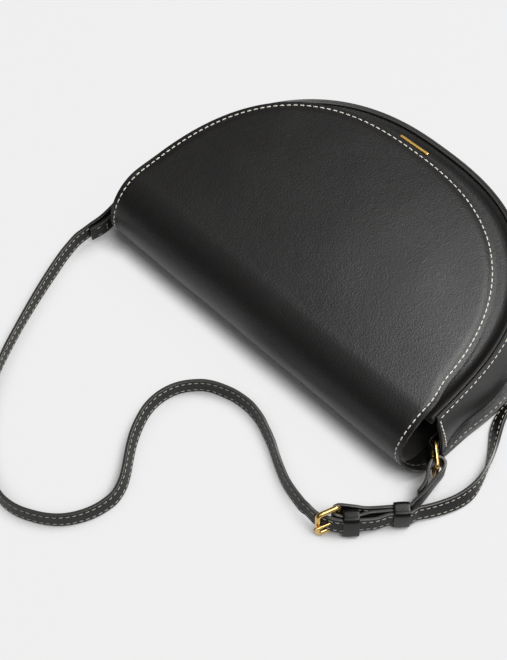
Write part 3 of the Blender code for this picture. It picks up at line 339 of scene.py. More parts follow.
def quads(rows, count, closed=True):
    """Faces between rows of count points; closed rows join their last point to their first."""
    faces = []
    for i in range(rows - 1):
        for j in range(count if closed else count - 1):
            k = (j + 1) % count
            faces.append((i * count + j, i * count + k, (i + 1) * count + k, (i + 1) * count + j))
    return faces


def band_mesh(middle, up, face, width, thick, corner, steps):
    """Points and faces of a band along its middle line, and the indexes of the faces that form its painted edges."""
    shape = rounded(thick, width, corner, steps)
    count = len(shape)
    points = [m + f * a + u * b for m, u, f in zip(middle, up, face) for a, b in shape]
    faces = quads(len(middle), count)
    edge = [abs(shape[j][1] + shape[(j + 1) % count][1]) / 2 > width / 2 - corner for j in range(count)]
    painted = [i for i in range(len(faces)) if edge[i % count]] + [len(faces), len(faces) + 1]
    faces.append(tuple(reversed(range(count))))
    faces.append(tuple((len(middle) - 1) * count + j for j in range(count)))
    return points, faces, painted


STITCH_PITCH = 0.0041
STITCH_LENGTH = 0.0030
STITCH_THREAD = 0.00072
STITCH_FROM_EDGE = 0.0023
CROSS_PITCH = 0.0036
CROSS_LENGTH = 0.0028
STITCH_MARKS = np.array([0.0, 0.12, 0.35, 0.65, 0.88, 1.0])
STITCH_RISE = (-0.55, -0.05, 0.14, 0.14, -0.05, -0.55)
STITCH_FATNESS = (0.5, 0.9, 1.0, 1.0, 0.9, 0.5)
STITCH_HALF_HEIGHT = 0.36
STITCH_HALF_WIDTH = 0.5


def stitch_shapes(places, normals, pitch, length, thick, points, faces):
    """Adds one short arched run of thread for every pitch along a line on the leather."""
    line = evenly(np.column_stack([places, normals]), pitch / 6)
    run = run_along(line)
    count = int(run[-1] // pitch)
    first = (run[-1] - count * pitch + pitch - length) / 2
    for k in range(count):
        marks = first + k * pitch + length * STITCH_MARKS
        there = np.stack([np.interp(marks, run, line[:, i]) for i in range(6)], axis=1)
        mid, out = there[:, :3], unit(there[:, 3:])
        side = unit(np.cross(out, mid[-1] - mid[0]))
        base = len(points)
        for m, o, s, rise, fat in zip(mid, out, side, STITCH_RISE, STITCH_FATNESS):
            for a in np.arange(6) * math.pi / 3:
                up = rise + STITCH_HALF_HEIGHT * fat * math.sin(a)
                points.append(m + o * thick * up + s * thick * STITCH_HALF_WIDTH * fat * math.cos(a))
        faces += [tuple(base + corner for corner in quad) for quad in quads(6, 6)]
        faces.append(tuple(base + j for j in reversed(range(6))))
        faces.append(tuple(base + 30 + j for j in range(6)))


def strap_piece(name, route, sewn):
    """A strap on edge along its route; sewn holds the stretches with a row of stitches near each edge on both faces."""
    middle, up, face = strap_frame(route)
    points, faces, painted = band_mesh(middle, up, face, STRAP_WIDTH, STRAP_THICK, STRAP_CORNER, 4)
    body = len(faces)
    run = run_along(middle)
    reach = STRAP_WIDTH / 2 - STITCH_FROM_EDGE
    size = (STITCH_PITCH, STITCH_LENGTH, STITCH_THREAD)
    for start, end, crossed in sewn:
        rows = (run >= start) & (run <= end)
        for side in (1, -1):
            spots = middle + side * face * STRAP_THICK / 2
            for edge in (1, -1):
                stitch_shapes((spots + edge * up * reach)[rows], side * face[rows], *size, points, faces)
            if crossed is not None:
                k = int(np.searchsorted(run, crossed))
                across = np.array([spots[k] + up[k] * reach * share for share in (-1.0, -0.5, 0.0, 0.5, 1.0)])
                facing = np.tile(side * face[k], (5, 1))
                stitch_shapes(across, facing, CROSS_PITCH, CROSS_LENGTH, STITCH_THREAD, points, faces)
    obj = piece_from(name, points, faces, (strap_calf, edge_paint_and_sheen, dimmed_thread), painted)
    for polygon in obj.data.polygons[body:]:
        polygon.material_index = 2
    return obj, middle


loose = np.vstack([metres(STRAP_FROM_LEFT, RING_LEFT_LIMB), metres(STRAP_FROM_RIGHT, RING_RIGHT_LIMB)])
knots = np.vstack([leaning(loose), through(STRAP_THROUGH), leaning(metres(STRAP_TAIL, RING_RIGHT_LIMB))])
route = spline(knots, STRAP_STEP)
strap, strap_line = strap_piece("strap_leather", route, ((0.001, 0.010, 0.0105), (0.060, 0.781, 0.0595)))
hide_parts("shoulder_strap")
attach(strap, "bag")

# The buckle strap
# The same strap, doubled: one end is folded round the right ring, the other round the buckle's right bar.

knots = np.vstack([through(BUCKLE_THROUGH), leaning(metres(BUCKLE_END, RING_RIGHT_LIMB))])
route = spline(knots, STRAP_STEP)
chape, _ = strap_piece("buckle_strap_leather", route, ((0.002, 0.016, None), (0.062, 0.082, None)))
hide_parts("buckle_strap")
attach(chape, "bag")

# Back, roll and flap
# One piece of black calf from the back's far end, round the roll, to the flap's curved end. The flap's edge is sewn
# to its lining and pressed down along the stitches; the middle stands a little proud and waves softly.

ROLL_Y = -0.070
ROLL_RADIUS = 0.027
BACK_HALF = 0.1396
BACK_SHIFT = 0.0022
BACK_BELLY = 0.0065
BELLY_RUN = 0.060
BACK_REACH = 0.1670
BACK_POWER = 2.8
SHOULDER_Y = 0.008
HIP_SHARES = (0.37, 0.62)
ROLL_PINCHES = (0.0018, 0.0)
RIGHT_FLARE = 0.0035
FLARE_RUN = 0.024
FLAP_HALF = 0.1246
FLAP_REACH = 0.1408
FLAP_POWERS = (2.52, 2.37)
FLAP_SHIFT = -0.0001
LEATHER = 0.0016
LINING = 0.0008
GAP = 0.0003
FLAP_CROWN = 0.0030
FLAP_DROOP = 0.0012
SEAM = 0.0031
PRESS_DEPTH = 0.00022
PRESS_WIDTH = 0.0011
ROLL_WAVES = 0.0004
FLAP_WAVES = 0.00035
DROOP_RUN = 0.0080
CUT_ANGLE = math.radians(62)


def smooth(t):
    """A soft step from 0 to 1 as t goes from 0 to 1."""
    t = min(max(t, 0.0), 1.0)
    return t * t * (3 - 2 * t)


def wave(x, y, size, seed):
    """Soft unevenness of leather that lies loose, between about -1 and 1, over humps of this size."""
    finer = noise.noise(Vector((2.3 * x / size, 2.3 * y / size, seed + 7.0)))
    return noise.noise(Vector((x / size, y / size, seed))) + 0.4 * finer


def belly(reach):
    """How much wider than at the roll the back is at this distance in front of the roll's line."""
    return BACK_BELLY * smooth((reach - SHOULDER_Y) / BELLY_RUN)


def back_half(reach, inset):
    """Half the width of the back at this distance in front of the roll's line."""
    half = BACK_HALF + belly(reach) - inset
    if reach <= SHOULDER_Y:
        return half
    share = (reach - SHOULDER_Y) / (BACK_REACH - SHOULDER_Y - inset)
    return half * (1 - min(share, 1.0) ** BACK_POWER) ** (1 / BACK_POWER)


def flap_half(x, reach):
    """Half the flap's width before its outline curves in; its right side flares near the roll."""
    return FLAP_HALF + (RIGHT_FLARE * (1 - smooth(reach / FLARE_RUN)) if x > 0 else 0.0)


def roll_half(share, right):
    """Half the width round the roll on one side, from the back's at 0 to the flap's at 1."""
    pinch = ROLL_PINCHES[right] * smooth(2 * share) * smooth(2 - 2 * share)
    narrower = BACK_HALF - flap_half(right - 0.5, 0.0)
    return BACK_HALF - narrower * smooth(share / HIP_SHARES[right]) - pinch


def roll_shift(share):
    """How far right the middle line lies round the roll."""
    return BACK_SHIFT + (FLAP_SHIFT - BACK_SHIFT) * smooth(2 * share)


def roll_point(x, share, depth):
    """A point this deep under the roll's outer face."""
    angle = math.pi * share
    swell = ROLL_WAVES * wave(x, share * 0.085, 0.050, 3.0) * math.sin(angle) ** 2
    radius = ROLL_RADIUS - depth + swell
    return (x, ROLL_Y - radius * math.sin(angle), ROLL_RADIUS - radius * math.cos(angle))


def flap_edge(x, y):
    """How far inside the flap's edge a point lies, y measured from the roll's line."""
    x -= FLAP_SHIFT
    power = FLAP_POWERS[int(x > 0.0)]
    reached = abs(x / flap_half(x, y)) ** power + max(y / FLAP_REACH, 0.0) ** power
    return (1 - reached ** (1 / power)) * FLAP_HALF


def flap_height(x, y):
    """Height of the flap's outer face, y measured from the roll's line."""
    along = 4 * (y / FLAP_REACH) * (1 - y / FLAP_REACH)
    sideways = 1 - ((x - FLAP_SHIFT) / FLAP_HALF) ** 2
    crown = FLAP_CROWN * max(along, 0.0) * max(sideways, 0.0)
    inside = flap_edge(x, y)
    droop = FLAP_DROOP * (1 - smooth(inside / DROOP_RUN)) * smooth(y / 0.0200)
    loose = FLAP_WAVES * wave(x, y, 0.055, 3.0) * smooth(y / 0.030) * smooth(inside / 0.015)
    return 2 * ROLL_RADIUS + crown - droop + loose


def pressed(inside):
    """How deep the stitches pull the leather down beside them."""
    return PRESS_DEPTH * math.exp(-(((inside - SEAM) / PRESS_WIDTH) ** 2))


def spread(columns):
    """Shares across from -1 to 1, closer together towards the ends."""
    return [math.sin(math.pi * (j / columns - 0.5)) for j in range(columns + 1)]


def hide_rows(depth, columns, back_count, roll_count, flap_count, inset, seam):
    """Rows of points from the back's far end, round the roll, to the flap's end, this deep under the outer face."""
    rows = []
    for i in range(back_count):
        y = SHOULDER_Y + (BACK_REACH - SHOULDER_Y - inset) * 0.999 * math.cos(math.pi * i / (2 * back_count))
        y = y if i < back_count - 1 else SHOULDER_Y / 2
        half = back_half(y, inset)
        rows.append([(BACK_SHIFT + half * s, ROLL_Y + y, depth) for s in spread(columns)])
    for i in range(roll_count):
        share = i / roll_count
        row = []
        for s in spread(columns):
            half = roll_half(share, s > 0.0)
            half = min(half, BACK_HALF - inset) if share < 0.5 else half
            inside = (1 - abs(s)) * half
            x = roll_shift(share) + half * s
            row.append(roll_point(x, share, depth + seam * pressed(inside) * smooth(share / 0.3)))
        rows.append(row)
    for i in range(flap_count + 1):
        y = FLAP_REACH * 0.9995 * math.sin(math.pi * i / (2 * flap_count))
        row = []
        for s in spread(columns):
            power = FLAP_POWERS[s > 0]
            x = FLAP_SHIFT + s * flap_half(s, y) * (1 - (y / FLAP_REACH) ** power) ** (1 / power)
            row.append((x, ROLL_Y + y, flap_height(x, y) - depth - seam * pressed(flap_edge(x, y))))
        rows.append(row)
    return rows


def thickened(obj, thickness, side, even, rim, segments):
    """Gives a sheet its thickness and a rounded cut edge in its last material, worked into its mesh."""
    solid = obj.modifiers.new("thickness", "SOLIDIFY")
    solid.thickness = thickness
    solid.offset = side
    solid.use_even_offset = even
    solid.material_offset_rim = len(obj.data.materials) - 1
    soft = obj.modifiers.new("edge", "BEVEL")
    soft.width = rim
    soft.segments = segments
    soft.limit_method = "ANGLE"
    soft.angle_limit = CUT_ANGLE
    bpy.context.view_layer.update()
    ready = bpy.data.meshes.new_from_object(obj.evaluated_get(bpy.context.evaluated_depsgraph_get()))
    obj.modifiers.clear()
    obj.data = ready
    return obj


def sheet_piece(name, rows, thickness, materials, rim=0.0004, wrap=False, side=-1.0):
    """An open sheet through rows of points, thickened behind its face."""
    obj = piece_from(name, [p for row in rows for p in row], quads(len(rows), len(rows[0]), wrap), materials)
    return thickened(obj, thickness, side, True, rim, 3)


rows = hide_rows(depth=0.0, columns=96, back_count=28, roll_count=44, flap_count=84, inset=0.0, seam=1.0)
hide = sheet_piece("hide_back_roll_flap", rows, LEATHER, (calf, edge_paint_and_sheen))
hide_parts("back_panel", "flap_panel")
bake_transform(hide)

# The hide's lining
# Black microfibre suede, glued in behind the leather from the back to the flap's edge, where both are cut and
# painted together.

NAP = 0.0009
BRUSHED_PATCH = 0.018
suede, tree, shader, place = bare_material(
    "black_microfibre_suede", Base_Color="#201e1c", Roughness=0.86, IOR=1.45, Sheen_Weight=0.25
)
nap = node(tree, "ShaderNodeTexNoise", Vector=place, Scale=1 / NAP, Detail=4.0, Roughness=0.65)
brushed = node(tree, "ShaderNodeTexNoise", Vector=place, Scale=1 / BRUSHED_PATCH, Detail=2.0, Roughness=0.5)
shade = node(tree, "ShaderNodeMixRGB", Fac=brushed, Color1="#1a1817", Color2="#2b2826")
fibres = node(tree, "ShaderNodeBump", Height=nap, Strength=0.5, Distance=0.0003)
fed(shader, Base_Color=shade, Normal=fibres)


LINING_INSET = 0.0120
BACK_BOARD_THICK = 0.0013
FLAP_BOARD_THICK = 0.0009


def lining_rows(rows):
    """Rows under the hide led over the back's board and under the flap's board to its edge."""
    made = []
    for row in rows:
        line = []
        for x, y, z in row:
            along = y - ROLL_Y
            if z < 0.5 * ROLL_RADIUS:
                z += BACK_BOARD_THICK * smooth((along + 0.020) / 0.020)
            elif along > 0.0:
                z -= FLAP_BOARD_THICK * smooth(flap_edge(x, along) / 0.010) * smooth(along / 0.010)
            line.append((x, y, z))
        made.append(line)
    return made


rows = hide_rows(LEATHER + GAP, columns=72, back_count=20, roll_count=36, flap_count=44, inset=LINING_INSET, seam=0.0)
hide_lining = sheet_piece("hide_lining", lining_rows(rows), LINING, (suede, edge_paint_and_sheen), rim=0.0002)
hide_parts("back_lining", "flap_lining")
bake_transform(hide_lining)

# Stitches round the flap
# One row of white thread three millimetres inside the edge, round the flap and on round both ends of the roll.


# Pitch, length and thickness
OUTER_STITCH = (0.0045, 0.0034, 0.00086)
INNER_STITCH = (0.0045, 0.0033, 0.00074)
THREAD_SUNK = 0.00016
EDGE_STEP = 0.0012


def roll_end(shares, right):
    """Places and directions down one end of the roll."""
    made = []
    for share in shares:
        x = roll_shift(share) + (1 if right else -1) * roll_half(share, right)
        made.append((*roll_point(x, share, 0.0), 0.0, -math.sin(math.pi * share), -math.cos(math.pi * share)))
    return made


def edge_row(inset, depth, facing):
    """Places and directions for stitches along the whole edge of roll and flap, this deep under its outer face."""
    curve = []
    for turn in np.linspace(math.pi, 0.0, 241)[1:-1]:
        side = math.cos(turn)
        power = FLAP_POWERS[side > 0]
        y = FLAP_REACH * math.sin(turn) ** (2 / power)
        x = FLAP_SHIFT + math.copysign(abs(side) ** (2 / power), side) * flap_half(side, y)
        curve.append((x, ROLL_Y + y, flap_height(x, y), 0.0, 0.0, 1.0))
    shares = np.linspace(0.10, 1.0, 60)
    line = evenly(np.array(roll_end(shares, False) + curve + roll_end(shares[::-1], True)), EDGE_STEP)
    out = unit(line[:, 3:6])
    places = line[:, :3] + np.cross(unit(np.gradient(line[:, :3], axis=0)), out) * inset
    for place in places:
        if place[1] > ROLL_Y:
            place[2] = flap_height(place[0], place[1] - ROLL_Y)
    return places - out * depth, out * facing


points, faces = [], []
stitch_shapes(*edge_row(SEAM, THREAD_SUNK, 1.0), *OUTER_STITCH, points, faces)
outside = len(faces)
# The inner row on the suede takes the darkened thread: its grey is painted shade.
stitch_shapes(*edge_row(SEAM, LEATHER + GAP + LINING + 0.0001, -1.0), *INNER_STITCH, points, faces)
flap_thread = piece_from("thread_flap_edge", points, faces, (thread, shadowed_bobbin), range(outside, len(faces)))
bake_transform(flap_thread)

# Gusset
# A strip of the same calf stands round the bag's curved side. Its foot is turned out and sewn down on the back, its
# wall bellies outward in soft unequal folds, and its top edge is sewn to the front.

FRONT_HALF = 0.1290
FRONT_SHIFT = 0.0045
FRONT_REACH = 0.1566
FRONT_POWERS = (2.33, 2.56)
FRONT_Z = 0.0440
EDGE_ROLL = 0.0030
RIM_TOP = 0.0490
MOUTH_Y = -0.002
GUSSET_END_Y = 0.0005
GUSSET_LEATHER = 0.0014
BULGES = (0.0020, 0.0015)
FEET = (0.0016, 0.0056)
SETTLE_RUN = 0.025
WALL_FOLDS = 0.0011


def superellipse(turn, half, shift, reach, power, wider=lambda y: 0.0):
    """A place on one of the bag's round outlines, whose width may grow along it."""
    c, s = math.cos(turn), max(math.sin(turn), 0.0)
    y = SHOULDER_Y + (reach - SHOULDER_Y) * s ** (2 / power)
    return shift + math.copysign(abs(c) ** (2 / power), c) * (half + wider(y)), y


class Wall:
    """The gusset's outer face, from the right end round the far side to the left end."""

    def __init__(self, count, end_y):
        turns = [math.pi * (0.5 - 0.5 * math.cos(math.pi * i / (count - 1))) for i in range(count)]
        ends = [(0.0, end_y + (SHOULDER_Y - end_y) * i / 4) for i in range(4)]
        marks = ends + [(turn, SHOULDER_Y) for turn in turns] + [(math.pi, y) for _, y in reversed(ends)]
        top, edge = [], []
        for turn, low in marks:
            t = superellipse(turn, FRONT_HALF, FRONT_SHIFT, FRONT_REACH, FRONT_POWERS[turn < math.pi / 2])
            e = superellipse(turn, BACK_HALF, BACK_SHIFT, BACK_REACH, BACK_POWER, belly)
            straight = turn in (0.0, math.pi)
            top.append((t[0], low) if straight else t)
            edge.append((e[0], low) if straight else e)
        self.top, self.edge = np.array(top), np.array(edge)
        self.out = self.outward(self.top)
        self.settle = np.array([smooth((y - GUSSET_END_Y) / SETTLE_RUN) for _, y in self.top])
        self.bulge = BULGES[0] + BULGES[1] * self.settle
        self.foot = self.edge - self.outward(self.edge) * (FEET[0] + FEET[1] * self.settle)[:, None]
        self.low = LEATHER + GAP + GUSSET_LEATHER + GAP
        self.run = run_along(self.top)

    def outward(self, line):
        """Level directions away from the bag at each place of an outline."""
        along = unit(np.gradient(line, axis=0))
        return np.stack([along[:, 1], -along[:, 0]], axis=1)

    def point(self, i, z, inset):
        """A place on the wall at this height, this deep under its outer face."""
        share = (z - self.low) / (RIM_TOP - self.low)
        belly = math.sin(math.pi * min(max(share, 0.0), 1.0))
        folds = WALL_FOLDS * wave(self.run[i], z * 1.6, 0.045, 11.0) * belly * self.settle[i]
        plan = self.foot[i] + (self.top[i] - self.foot[i]) * share
        x, y = plan + self.out[i] * (self.bulge[i] * belly + folds - inset)
        return (x, ROLL_Y + y, z)


END_SLANT = 0.0035
RIM_SEAM = 0.0026
RIM_PULL = 0.00018
RIM_PULL_WIDTH = 0.0009
FOOT_WAVES = 0.00025


def slanted(rows):
    """The wall's rows from rim to foot; at both ends of the wall the last ones slant."""
    for i in (0, 1, 2, 3, -4, -3, -2, -1):
        near = (4 - i) / 4 if i >= 0 else (i + 5) / 4
        rows[i] = [(x, y + END_SLANT * near * smooth((RIM_TOP - z) / RIM_TOP), z) for x, y, z in rows[i]]
    return [list(reversed(row)) for row in rows]


wall = Wall(161, GUSSET_END_Y)
wall_rows = []
for i in range(len(wall.top)):
    row = []
    for share in (0.0, 0.15, 0.35, 0.55, 0.75, 0.90, 0.97):
        x, y = wall.edge[i] + (wall.foot[i] - wall.edge[i]) * share
        uneven = FOOT_WAVES * wave(wall.run[i], 0.0, 0.012, 5.0) * math.sin(math.pi * share)
        row.append((x, ROLL_Y + y, wall.low + uneven))
    for share in np.concatenate([(0.012, 0.035, 0.07, 0.12), np.linspace(0.18, 0.97, 20), (1.0,)]):
        z = wall.low + (RIM_TOP - wall.low) * share
        row.append(wall.point(i, z, RIM_PULL * math.exp(-(((RIM_TOP - z - RIM_SEAM) / RIM_PULL_WIDTH) ** 2))))
    wall_rows.append(row)
gusset = sheet_piece("gusset_leather", slanted(wall_rows), GUSSET_LEATHER, (calf, edge_paint_and_sheen))
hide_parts("gusset")
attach(gusset, "bag")

# Gusset lining
# The same suede behind the wall, folded under below the rim.

LINING_TOP = 0.0415
levels = wall.low + (LINING_TOP - wall.low) * np.linspace(0.02, 1.0, 16)
rows = [[wall.point(i, z, GUSSET_LEATHER + GAP) for z in levels] for i in range(len(wall.top))]
gusset_lining = sheet_piece("gusset_suede_lining", slanted(rows), LINING, (suede, suede), rim=0.0002)
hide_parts("gusset_lining")
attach(gusset_lining, "bag")

# Stitches on the gusset
# One row below the rim, one through the turned-out foot, and one down each hemmed end.

RIM_STITCH = (0.0045, 0.0032, 0.00074)
FOOT_STITCH = (0.0045, 0.0030, 0.00066)
HEM_STITCH = (0.0045, 0.0034, 0.00092)
FOOT_SEAM = 0.27
HEM_SEAM = 0.0011
HEM_TAPER = 0.0022
points, faces = [], []
rim_line = np.array([wall.point(i, RIM_TOP - RIM_SEAM, 0.00006) for i in range(len(wall.top))])
stitch_shapes(rim_line, np.column_stack([wall.out, np.zeros(len(wall.out))]), *RIM_STITCH, points, faces)
foot = wall.edge + (wall.foot - wall.edge) * FOOT_SEAM + (0.0, ROLL_Y)
foot_line = np.column_stack([foot, np.full(len(foot), wall.low - 0.00004)])[5:-5]
# The foot row takes the dimmed thread, whose darker tone is painted shade there.
upper = len(faces)
stitch_shapes(foot_line, np.tile((0.0, 0.0, 1.0), (len(foot_line), 1)), *FOOT_STITCH, points, faces)
lower = len(faces)
for end, sign in ((0, 1.0), (-1, -1.0)):
    hem = []
    for x, y, z in wall_rows[end]:
        share = (z - wall.low) / (RIM_TOP - wall.low)
        if 0.10 < share < 0.96:
            hem.append((x, y + HEM_SEAM + HEM_TAPER * (1 - share), z))
    facing = np.tile((sign, -0.05, 0.0), (len(hem), 1))
    stitch_shapes(np.array(hem) + facing * 0.00012, facing, *HEM_STITCH, points, faces)
gusset_thread = piece_from("thread_gusset", points, faces, (thread, dimmed_thread), range(upper, lower))
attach(gusset_thread, "bag")

# Front panel
# The front's leather turns up inside the gusset's rim, where both are sewn together, and crowns softly between.


FRONT_CROWN = 0.0035
FRONT_WAVES = 0.0003


def front_height(x, y):
    """Height of the front's outer face, y measured from the roll's line."""
    share = min(max((y - MOUTH_Y) / (FRONT_REACH - MOUTH_Y), 0.0), 1.0)
    crown = FRONT_CROWN * (1 - share**2) * max(1 - ((x - FRONT_SHIFT) / FRONT_HALF) ** 2, 0.0)
    return FRONT_Z + crown + FRONT_WAVES * wave(x, y, 0.050, 23.0) * max(1 - share**4, 0.0)


def capped_piece(name, rings, thickness, materials, rim):
    """A sheet of rings whose last ring closes on the middle of the mouth's straight side."""
    count = len(rings[0])
    points = [p for ring in rings for p in ring]
    points.append(tuple((a + b) / 2 for a, b in zip(rings[-1][0], rings[-1][-1])))
    base = (len(rings) - 1) * count
    faces = quads(len(rings), count, False)
    faces += [(base + j, base + j + 1, len(points) - 1) for j in range(count - 1)]
    return thickened(piece_from(name, points, faces, materials), thickness, -1.0, False, rim, 2)


def front_rings(wall, inset, z, drop, shares, climb=0.0):
    """Rings that shrink from the fold by the rim to the mouth's middle; the last few millimetres climb to the fold."""
    rings = []
    for share in shares:
        ring = []
        for i in range(len(wall.top)):
            x, y, _ = wall.point(i, z, inset)
            x = FRONT_SHIFT + (x - FRONT_SHIFT) * share
            y = MOUTH_Y + (y - ROLL_Y - MOUTH_Y) * share
            ring.append((x, ROLL_Y + y, front_height(x, y) + climb * smooth((share - 0.955) / 0.040) - drop))
        rings.append(ring)
    return rings


mouth_wall = Wall(121, MOUTH_Y)
inside = GUSSET_LEATHER + GAP + LEATHER
rim_levels = [(RIM_TOP - drop, inside + GAP) for drop in (0.0, 0.0006, 0.0010)]
rim_levels.append((FRONT_Z + EDGE_ROLL + 0.0005, inside + GAP + 0.0003))
rim_rings = [[mouth_wall.point(i, z, inset) for i in range(len(mouth_wall.top))] for z, inset in rim_levels]
flat_shares = (1.0, 0.988, 0.974, 0.958, 0.94, 0.90, 0.85, 0.79, 0.72, 0.64, 0.55, 0.45, 0.34, 0.22, 0.11)
fold = front_rings(mouth_wall, inside + GAP + 0.0009, FRONT_Z, drop=0.0, shares=flat_shares, climb=EDGE_ROLL)
front = capped_piece("front_leather", rim_rings + fold, LEATHER, (calf, edge_paint_and_sheen), rim=0.0003)
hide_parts("front_panel")
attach(front, "bag")

# Front lining
# Suede glued under the front's leather, a few millimetres short of the rim.

rings = front_rings(mouth_wall, inset=0.0042, z=LINING_TOP, drop=LEATHER + GAP, shares=flat_shares)
front_lining = capped_piece("front_suede_lining", rings, LINING, (suede, suede), rim=0.0002)
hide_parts("front_lining")
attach(front_lining, "bag")

# Ring tabs
# A narrow loop of calf holds each ring, its two legs sewn inside the gusset's end.

RING_WIRE = 0.0015
RING_Z = 0.0136
RING_INNER = {"right": RING_RIGHT_LIMB, "left": RING_LEFT_LIMB}
RING_OUTER = {"right": (0.1475, -0.0820), "left": (-0.1320, -0.0806)}
TAB_WIDTH = 0.0110
TAB_THICK = 0.0011
TAB_LEG = 0.0185
TAB_CORNER = 0.00035
TAB_ROUND_WIRE = 0.0016
TAB_STEP = 0.0009


def tab_route(inner, side):
    """Where the loop's middle line goes in plan: up the gusset, round the ring's limb and back."""
    radius = RING_WIRE + TAB_ROUND_WIRE - TAB_THICK / 2
    clear = GUSSET_LEATHER + 3 * GAP + LINING + TAB_THICK / 2
    ends = (RING_Z - TAB_WIDTH / 2, RING_Z + TAB_WIDTH / 2)
    order = range(len(wall.top)) if side > 0 else range(len(wall.top) - 1, -1, -1)
    line = [wall.top[i][1] for i in order][:70]
    reach = [min(abs(wall.point(i, z, clear)[0]) for z in ends) for i in order][:70]
    legs = []
    for k in range(5):
        y = inner[1] - ROLL_Y + radius + TAB_LEG * (0.18 + 0.82 * k / 4)
        legs.append((min(float(np.interp(y, line, reach)), abs(inner[0]) + radius), y))
    plan = [(x * side, ROLL_Y + y) for x, y in reversed(legs)]
    for k in range(13):
        turn = math.pi * k / 12
        plan.append((inner[0] + side * radius * math.cos(turn), inner[1] - radius * math.sin(turn)))
    for (x, y), merge in zip(legs, (0.0, 0.45, 0.85, 1.0, 1.0)):
        x = (abs(inner[0]) - radius) * (1 - merge) + (x - TAB_THICK - GAP) * merge
        plan.append((x * side, ROLL_Y + y))
    return plan


for side, sign in (("right", 1.0), ("left", -1.0)):
    knots = np.array([(x, y, RING_Z, 0.0, 0.0) for x, y in tab_route(RING_INNER[side], sign)])
    middle = spline(knots, TAB_STEP)[:, :3]
    upright = np.tile((0.0, 0.0, 1.0), (len(middle), 1))
    face = unit(np.cross(upright, np.gradient(middle, axis=0)))
    points, faces, painted = band_mesh(middle, upright, face, TAB_WIDTH, TAB_THICK, TAB_CORNER, 3)
    tab = piece_from(f"ring_tab_leather_{side}", points, faces, (calf, edge_paint_and_sheen), painted)
    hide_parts(f"ring_tab_{side}")
    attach(tab, "bag")

# Keepers
# Two bands of thin polished calf, folded round the strap's layers and joined at the back. The first is sewn in
# behind the buckle, the second slides.

PORE = 0.0007
RUBBED_PATCH = 0.007
polished, tree, shader, place = bare_material(
    "black_polished_calf", Base_Color="#0e0d0c", Roughness=0.30, IOR=1.46, Specular_IOR_Level=0.42
)
pores = node(tree, "ShaderNodeTexNoise", Vector=place, Scale=1 / PORE, Detail=3.0, Roughness=0.6)
rubbed = node(tree, "ShaderNodeTexNoise", Vector=place, Scale=1 / RUBBED_PATCH, Detail=2.0, Roughness=0.5)
wear = node(tree, "ShaderNodeMapRange", Value=rubbed, To_Min=0.20, To_Max=0.34)
fine = node(tree, "ShaderNodeBump", Height=pores, Strength=0.2, Distance=0.0002)
fed(shader, Roughness=wear, Normal=fine)

KEEPER_THICK = 0.0011
KEEPER_CORNER = 0.0022
KEEPER_SWELL = 0.0003


def stack_place(along, out, rise, lean, z):
    """A place among the strap's layers: along them, to their right, and up their leaning width."""
    out = out - rise * math.sin(lean)
    return (TRAVEL[0] * along + TRAVEL[1] * out, TRAVEL[1] * along - TRAVEL[0] * out, z + rise * math.cos(lean))


# Start and end along the layers, back and front across them, the band's height, the height of its middle, its lean
for name, body, start, end, back, front_side, height, z, lean in (
    ("keeper_fixed", "bag", -0.0159, -0.0062, 0.1889, 0.1959, 0.0150, 0.0084, 15.0),
    ("keeper_sliding", "loose_keeper", 0.0149, 0.0247, 0.1840, 0.1920, 0.0137, 0.0080, 9.0),
):
    line = rounded(front_side - back, height, KEEPER_CORNER, 7)
    rows = []
    for along in np.linspace(end, start, 9):
        edge = abs(along - (start + end) / 2) / ((end - start) / 2)
        swell = KEEPER_SWELL * (1 - edge**2)
        row = []
        for u, v in line:
            out_u = u + math.copysign(swell, u)
            row.append(stack_place(along, (back + front_side) / 2 + out_u, v, math.radians(lean), z))
        rows.append(row)
    band = sheet_piece(f"{name}_leather", rows, KEEPER_THICK, (polished, edge_paint_and_sheen), rim=0.0003, wrap=True, side=1.0)
    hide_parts(name)
    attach(band, body)

# Rings, buckle and prong
# Round brass wire, bent, brazed, plated pale gold and polished: slightly soft reflections and hair-fine scratches.

WIPED_PATCH = 0.0040
HAIR_SCRATCH = 0.0005
gold, tree, shader, place = bare_material("pale_gold_plated_brass", Base_Color="#d9b268", Metallic=1.0, Roughness=0.24)
rub = node(tree, "ShaderNodeTexNoise", Vector=place, Scale=1 / WIPED_PATCH, Detail=5.0, Roughness=0.6)
gloss = node(tree, "ShaderNodeMapRange", Value=rub, To_Min=0.19, To_Max=0.32)
toned = node(tree, "ShaderNodeMixRGB", Fac=rub, Color1="#cfa75c", Color2="#e4c283")
hair = node(tree, "ShaderNodeTexNoise", Vector=place, Scale=1 / HAIR_SCRATCH, Detail=2.0, Roughness=0.5)
scratch = node(tree, "ShaderNodeBump", Height=hair, Strength=0.05, Distance=0.0001)
fed(shader, Base_Color=toned, Roughness=gloss, Normal=scratch)


